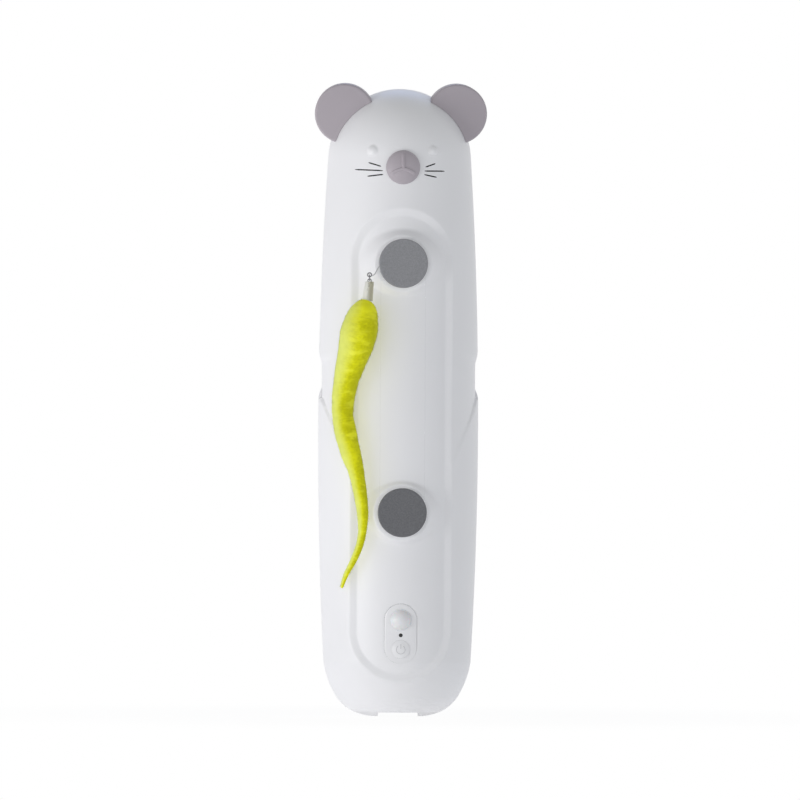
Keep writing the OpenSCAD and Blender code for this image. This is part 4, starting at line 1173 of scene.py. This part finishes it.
def plush_worm():
    line = worm_line(22)
    rings, sides = len(line), 72
    pile_room, bumps, rib_pitch, rib_height = 0.45, 0.2, 1.7, 0.02
    seed = np.random.default_rng(7)
    phase = seed.uniform(0, 2 * pi, 24)
    run = np.gradient(line[:, :3], axis=0)
    run /= np.linalg.norm(run, axis=1)[:, None]
    across = np.cross(run, (0, 1, 0))
    across /= np.linalg.norm(across, axis=1)[:, None]
    over = np.cross(run, across)
    travel = np.concatenate([[0], np.cumsum(np.linalg.norm(np.diff(line[:, :3], axis=0), axis=1))])
    turn = np.linspace(0, 2 * pi, sides, endpoint=False)
    s, a = travel[:, None], turn[None, :]
    uneven = np.zeros((rings, sides))
    for k in range(8):
        uneven += np.sin(s * (0.18 + 0.16 * k) + phase[k] + np.sin(a * (1 + k % 3) + phase[k + 8])) / (2 + k)
    wander = 1.3 * np.sin(a + phase[20]) + 0.8 * np.sin(2 * a + 0.05 * s + phase[21])
    ribs = np.sin(2 * pi * s / rib_pitch + wander)
    fade = np.clip(line[:, 3][:, None] / 6, 0.2, 1)
    reach = line[:, 3][:, None] + fade * (bumps * uneven + rib_height * ribs - pile_room)
    aside = np.cos(a)[..., None] * across[:, None] + np.sin(a)[..., None] * over[:, None]
    points = line[:, None, :3] + reach[..., None] * aside
    flat = [tuple(p) for p in points.reshape(-1, 3)]
    flat += [tuple(line[0, :3] + (0, 0, 0.4)), tuple(line[-1, :3] - (0.3, 0, 0.9))]
    faces = [face for j in range(rings - 1) for face in band_faces(j * sides, sides)]
    faces += [[rings * sides, k, (k + 1) % sides] for k in range(sides)]
    base = (rings - 1) * sides
    faces += [[rings * sides + 1, base + (k + 1) % sides, base + k] for k in range(sides)]
    made = add_piece("worm_plush", flat, faces, "plush", 80.0)
    dressed(made, "lure", "plush", "lure_worm")
    lie = made.data.attributes.new("lie", "FLOAT_VECTOR", "POINT")
    lie.data.foreach_set("vector", [n for v in made.data.vertices for n in v.normal])
    return made


def pile_tree():
    """Short hairs over a surface: scattered, leaning and combed down."""
    g = ShapeTree("short_pile", "Ground", "Pile",
                  [("Hairs per square metre", "Float"), ("Hair length", "Float"),
                   ("Hair radius", "Float"), ("Finish", "Material")])
    ground, density, length, girth, finish = g.given
    spread = g.node("GeometryNodeDistributePointsOnFaces", None,
                    {"Mesh": ground, "Density": density, "Seed": 11})
    normal = spread.beside("Normal")
    spread = g.node("GeometryNodeStoreNamedAttribute", {"data_type": "FLOAT_VECTOR", "domain": "POINT"},
                    {"Geometry": spread, "Name": "lie", "Value": normal})
    stray = g.node("FunctionNodeRandomValue", {"data_type": "FLOAT_VECTOR"},
                   {"Min": (-0.55, -0.55, -0.75), "Max": (0.55, 0.55, 0.15), "Seed": 3})
    lean = g.node("ShaderNodeVectorMath", {"operation": "ADD"}, {0: normal, 1: stray})
    turn = g.node("FunctionNodeAlignRotationToVector", {"axis": "Z"}, {"Vector": lean})
    size = g.node("FunctionNodeRandomValue", {"data_type": "FLOAT"},
                  {"Min": 0.5, "Max": 1.15, "Seed": 5}, out=1)
    hair = g.node("GeometryNodeMeshCone", {"fill_type": "NONE"},
                  {"Vertices": 3, "Side Segments": 1, "Radius Top": 0.0, "Radius Bottom": girth,
                   "Depth": length})
    g.close(g.node("GeometryNodeInstanceOnPoints", None,
                   {"Points": spread, "Instance": hair, "Rotation": turn, "Scale": size}), finish)
    return g


def worm_pile(ground):
    made = new_object("worm_pile", ground.data.copy())
    pile_tree().on(made, HAIRS_PER_SQUARE_METRE, HAIR_LENGTH * MM, HAIR_RADIUS * MM, FINISH["pile"])
    return dressed(made, "lure", "plush")


worm_pile(plush_worm())

# In the soft light the lure and the caps leave no hard shadow on the body
for name in ("worm_plush", "soft_tube", "tie_thread", "line_ring", "snap_wire", "eye_wire",
             "cap_upper", "cap_lower"):
    bpy.data.objects[name].visible_shadow = False
for name in ("cap_upper", "cap_lower"):
    bpy.data.objects[name].visible_diffuse = False


# Stage: pale floor, white surround, soft studio light, camera at the photograph's angle
def seen_rays(graph):
    """One where the camera or a mirror ray looks, zero for all other light."""
    camera_ray = graph.node("ShaderNodeLightPath", out="Is Camera Ray")
    seen = camera_ray
    for name in ("Is Glossy Ray", "Is Transmission Ray"):
        seen = seen.math("MAXIMUM", seen, camera_ray.beside(name))
    return seen


def surround():
    world = bpy.data.worlds.new("studio")
    bpy.context.scene.world = world
    world.use_nodes = True
    world.node_tree.nodes.clear()
    air = Graph(world.node_tree)
    height = air.node("ShaderNodeSeparateXYZ", None, {"Vector": air.node("ShaderNodeTexCoord")}, out="Z")
    level = air.node("ShaderNodeMapRange", None,
                     {"Value": height, "From Min": 0.0, "From Max": 1.0, "To Min": 0.62, "To Max": 0.4})
    dim = air.node("ShaderNodeBackground", None, {"Color": (0.98, 0.99, 1.0, 1), "Strength": level})
    bright = air.node("ShaderNodeBackground", None, {"Color": (1, 1, 1, 1), "Strength": 1.0})
    mixed = air.node("ShaderNodeMixShader", None, {0: seen_rays(air), 1: dim, 2: bright})
    air.node("ShaderNodeOutputWorld", None, {"Surface": mixed})


def pale_floor():
    half, drop = 4000, 0.5
    corners = [(x * half, y * half, -drop) for x, y in ((-1, -1), (1, -1), (1, 1), (-1, 1))]
    floor = drawn("floor", corners, [], [[0, 1, 2, 3]])
    paper = Finish("floor_paper", Roughness=0.9, Specular_IOR_Level=0.1, Emission_Color=(1, 1, 1, 1),
                   Emission_Strength=0.335)
    paper.set("Base Color", paper.blend(paper.noise(3.0), (0.8, 0.8, 0.81), (0.83, 0.83, 0.84)))
    far = paper.node("ShaderNodeVectorMath", {"operation": "LENGTH"}, {0: paper.place}, out="Value")
    whiteness = seen_rays(paper) * (0.9 + 0.1 * paper.band(far, 0.1, 0.4))
    white = paper.node("ShaderNodeEmission", None, {"Color": (1, 1, 1, 1), "Strength": 1.0})
    mixed = paper.node("ShaderNodeMixShader", None,
                       {0: whiteness, 1: Sock(paper, paper.shader.outputs[0]), 2: white})
    paper.put(paper.tree.nodes["Material Output"].inputs["Surface"], mixed)
    floor.data.materials.append(paper.material)


def lamp(name, place, aim, size, power, colour):
    light = bpy.data.lights.new(name, "AREA")
    light.shape = "RECTANGLE"
    light.size, light.size_y = size
    light.energy = power
    light.color = colour
    made = new_object(name, light)
    made.location = place
    made.rotation_euler = (Vector(aim) - Vector(place)).to_track_quat("-Z", "Y").to_euler()


def camera():
    reach, turn, lift, roll = 12.0, radians(-2.9), radians(0.35), radians(0.3)
    sensor, view_width = 36.0, 0.4683
    data = bpy.data.cameras.new("camera")
    made = new_object("camera", data)
    aim = Vector((0.0010, 0, 0.1848))
    made.location = aim + reach * Vector((sin(turn) * cos(lift), -cos(turn) * cos(lift), sin(lift)))
    made.rotation_euler = (aim - made.location).to_track_quat("-Z", "Y").to_euler()
    made.rotation_euler.rotate_axis("Z", roll)
    data.sensor_width = sensor
    data.lens = sensor * reach / view_width
    data.clip_end = 50.0
    bpy.context.scene.camera = made


surround()
pale_floor()
lamp("key", (-0.69, -0.39, 0.1), (0, 0, 0.12), (0.6, 0.18), 2.2, (1.0, 0.99, 1.0))
lamp("fill", (1.1, -1.0, 0.3), (0, 0, 0.18), (1.0, 0.6), 0.8, (0.75, 0.87, 1.0))
lamp("rim", (0.1, 0.9, 1.15), (0, 0, 0.34), (0.6, 0.4), 1.6, (0.3, 0.48, 1.0))
camera()
bpy.context.scene.view_settings.view_transform = "Standard"
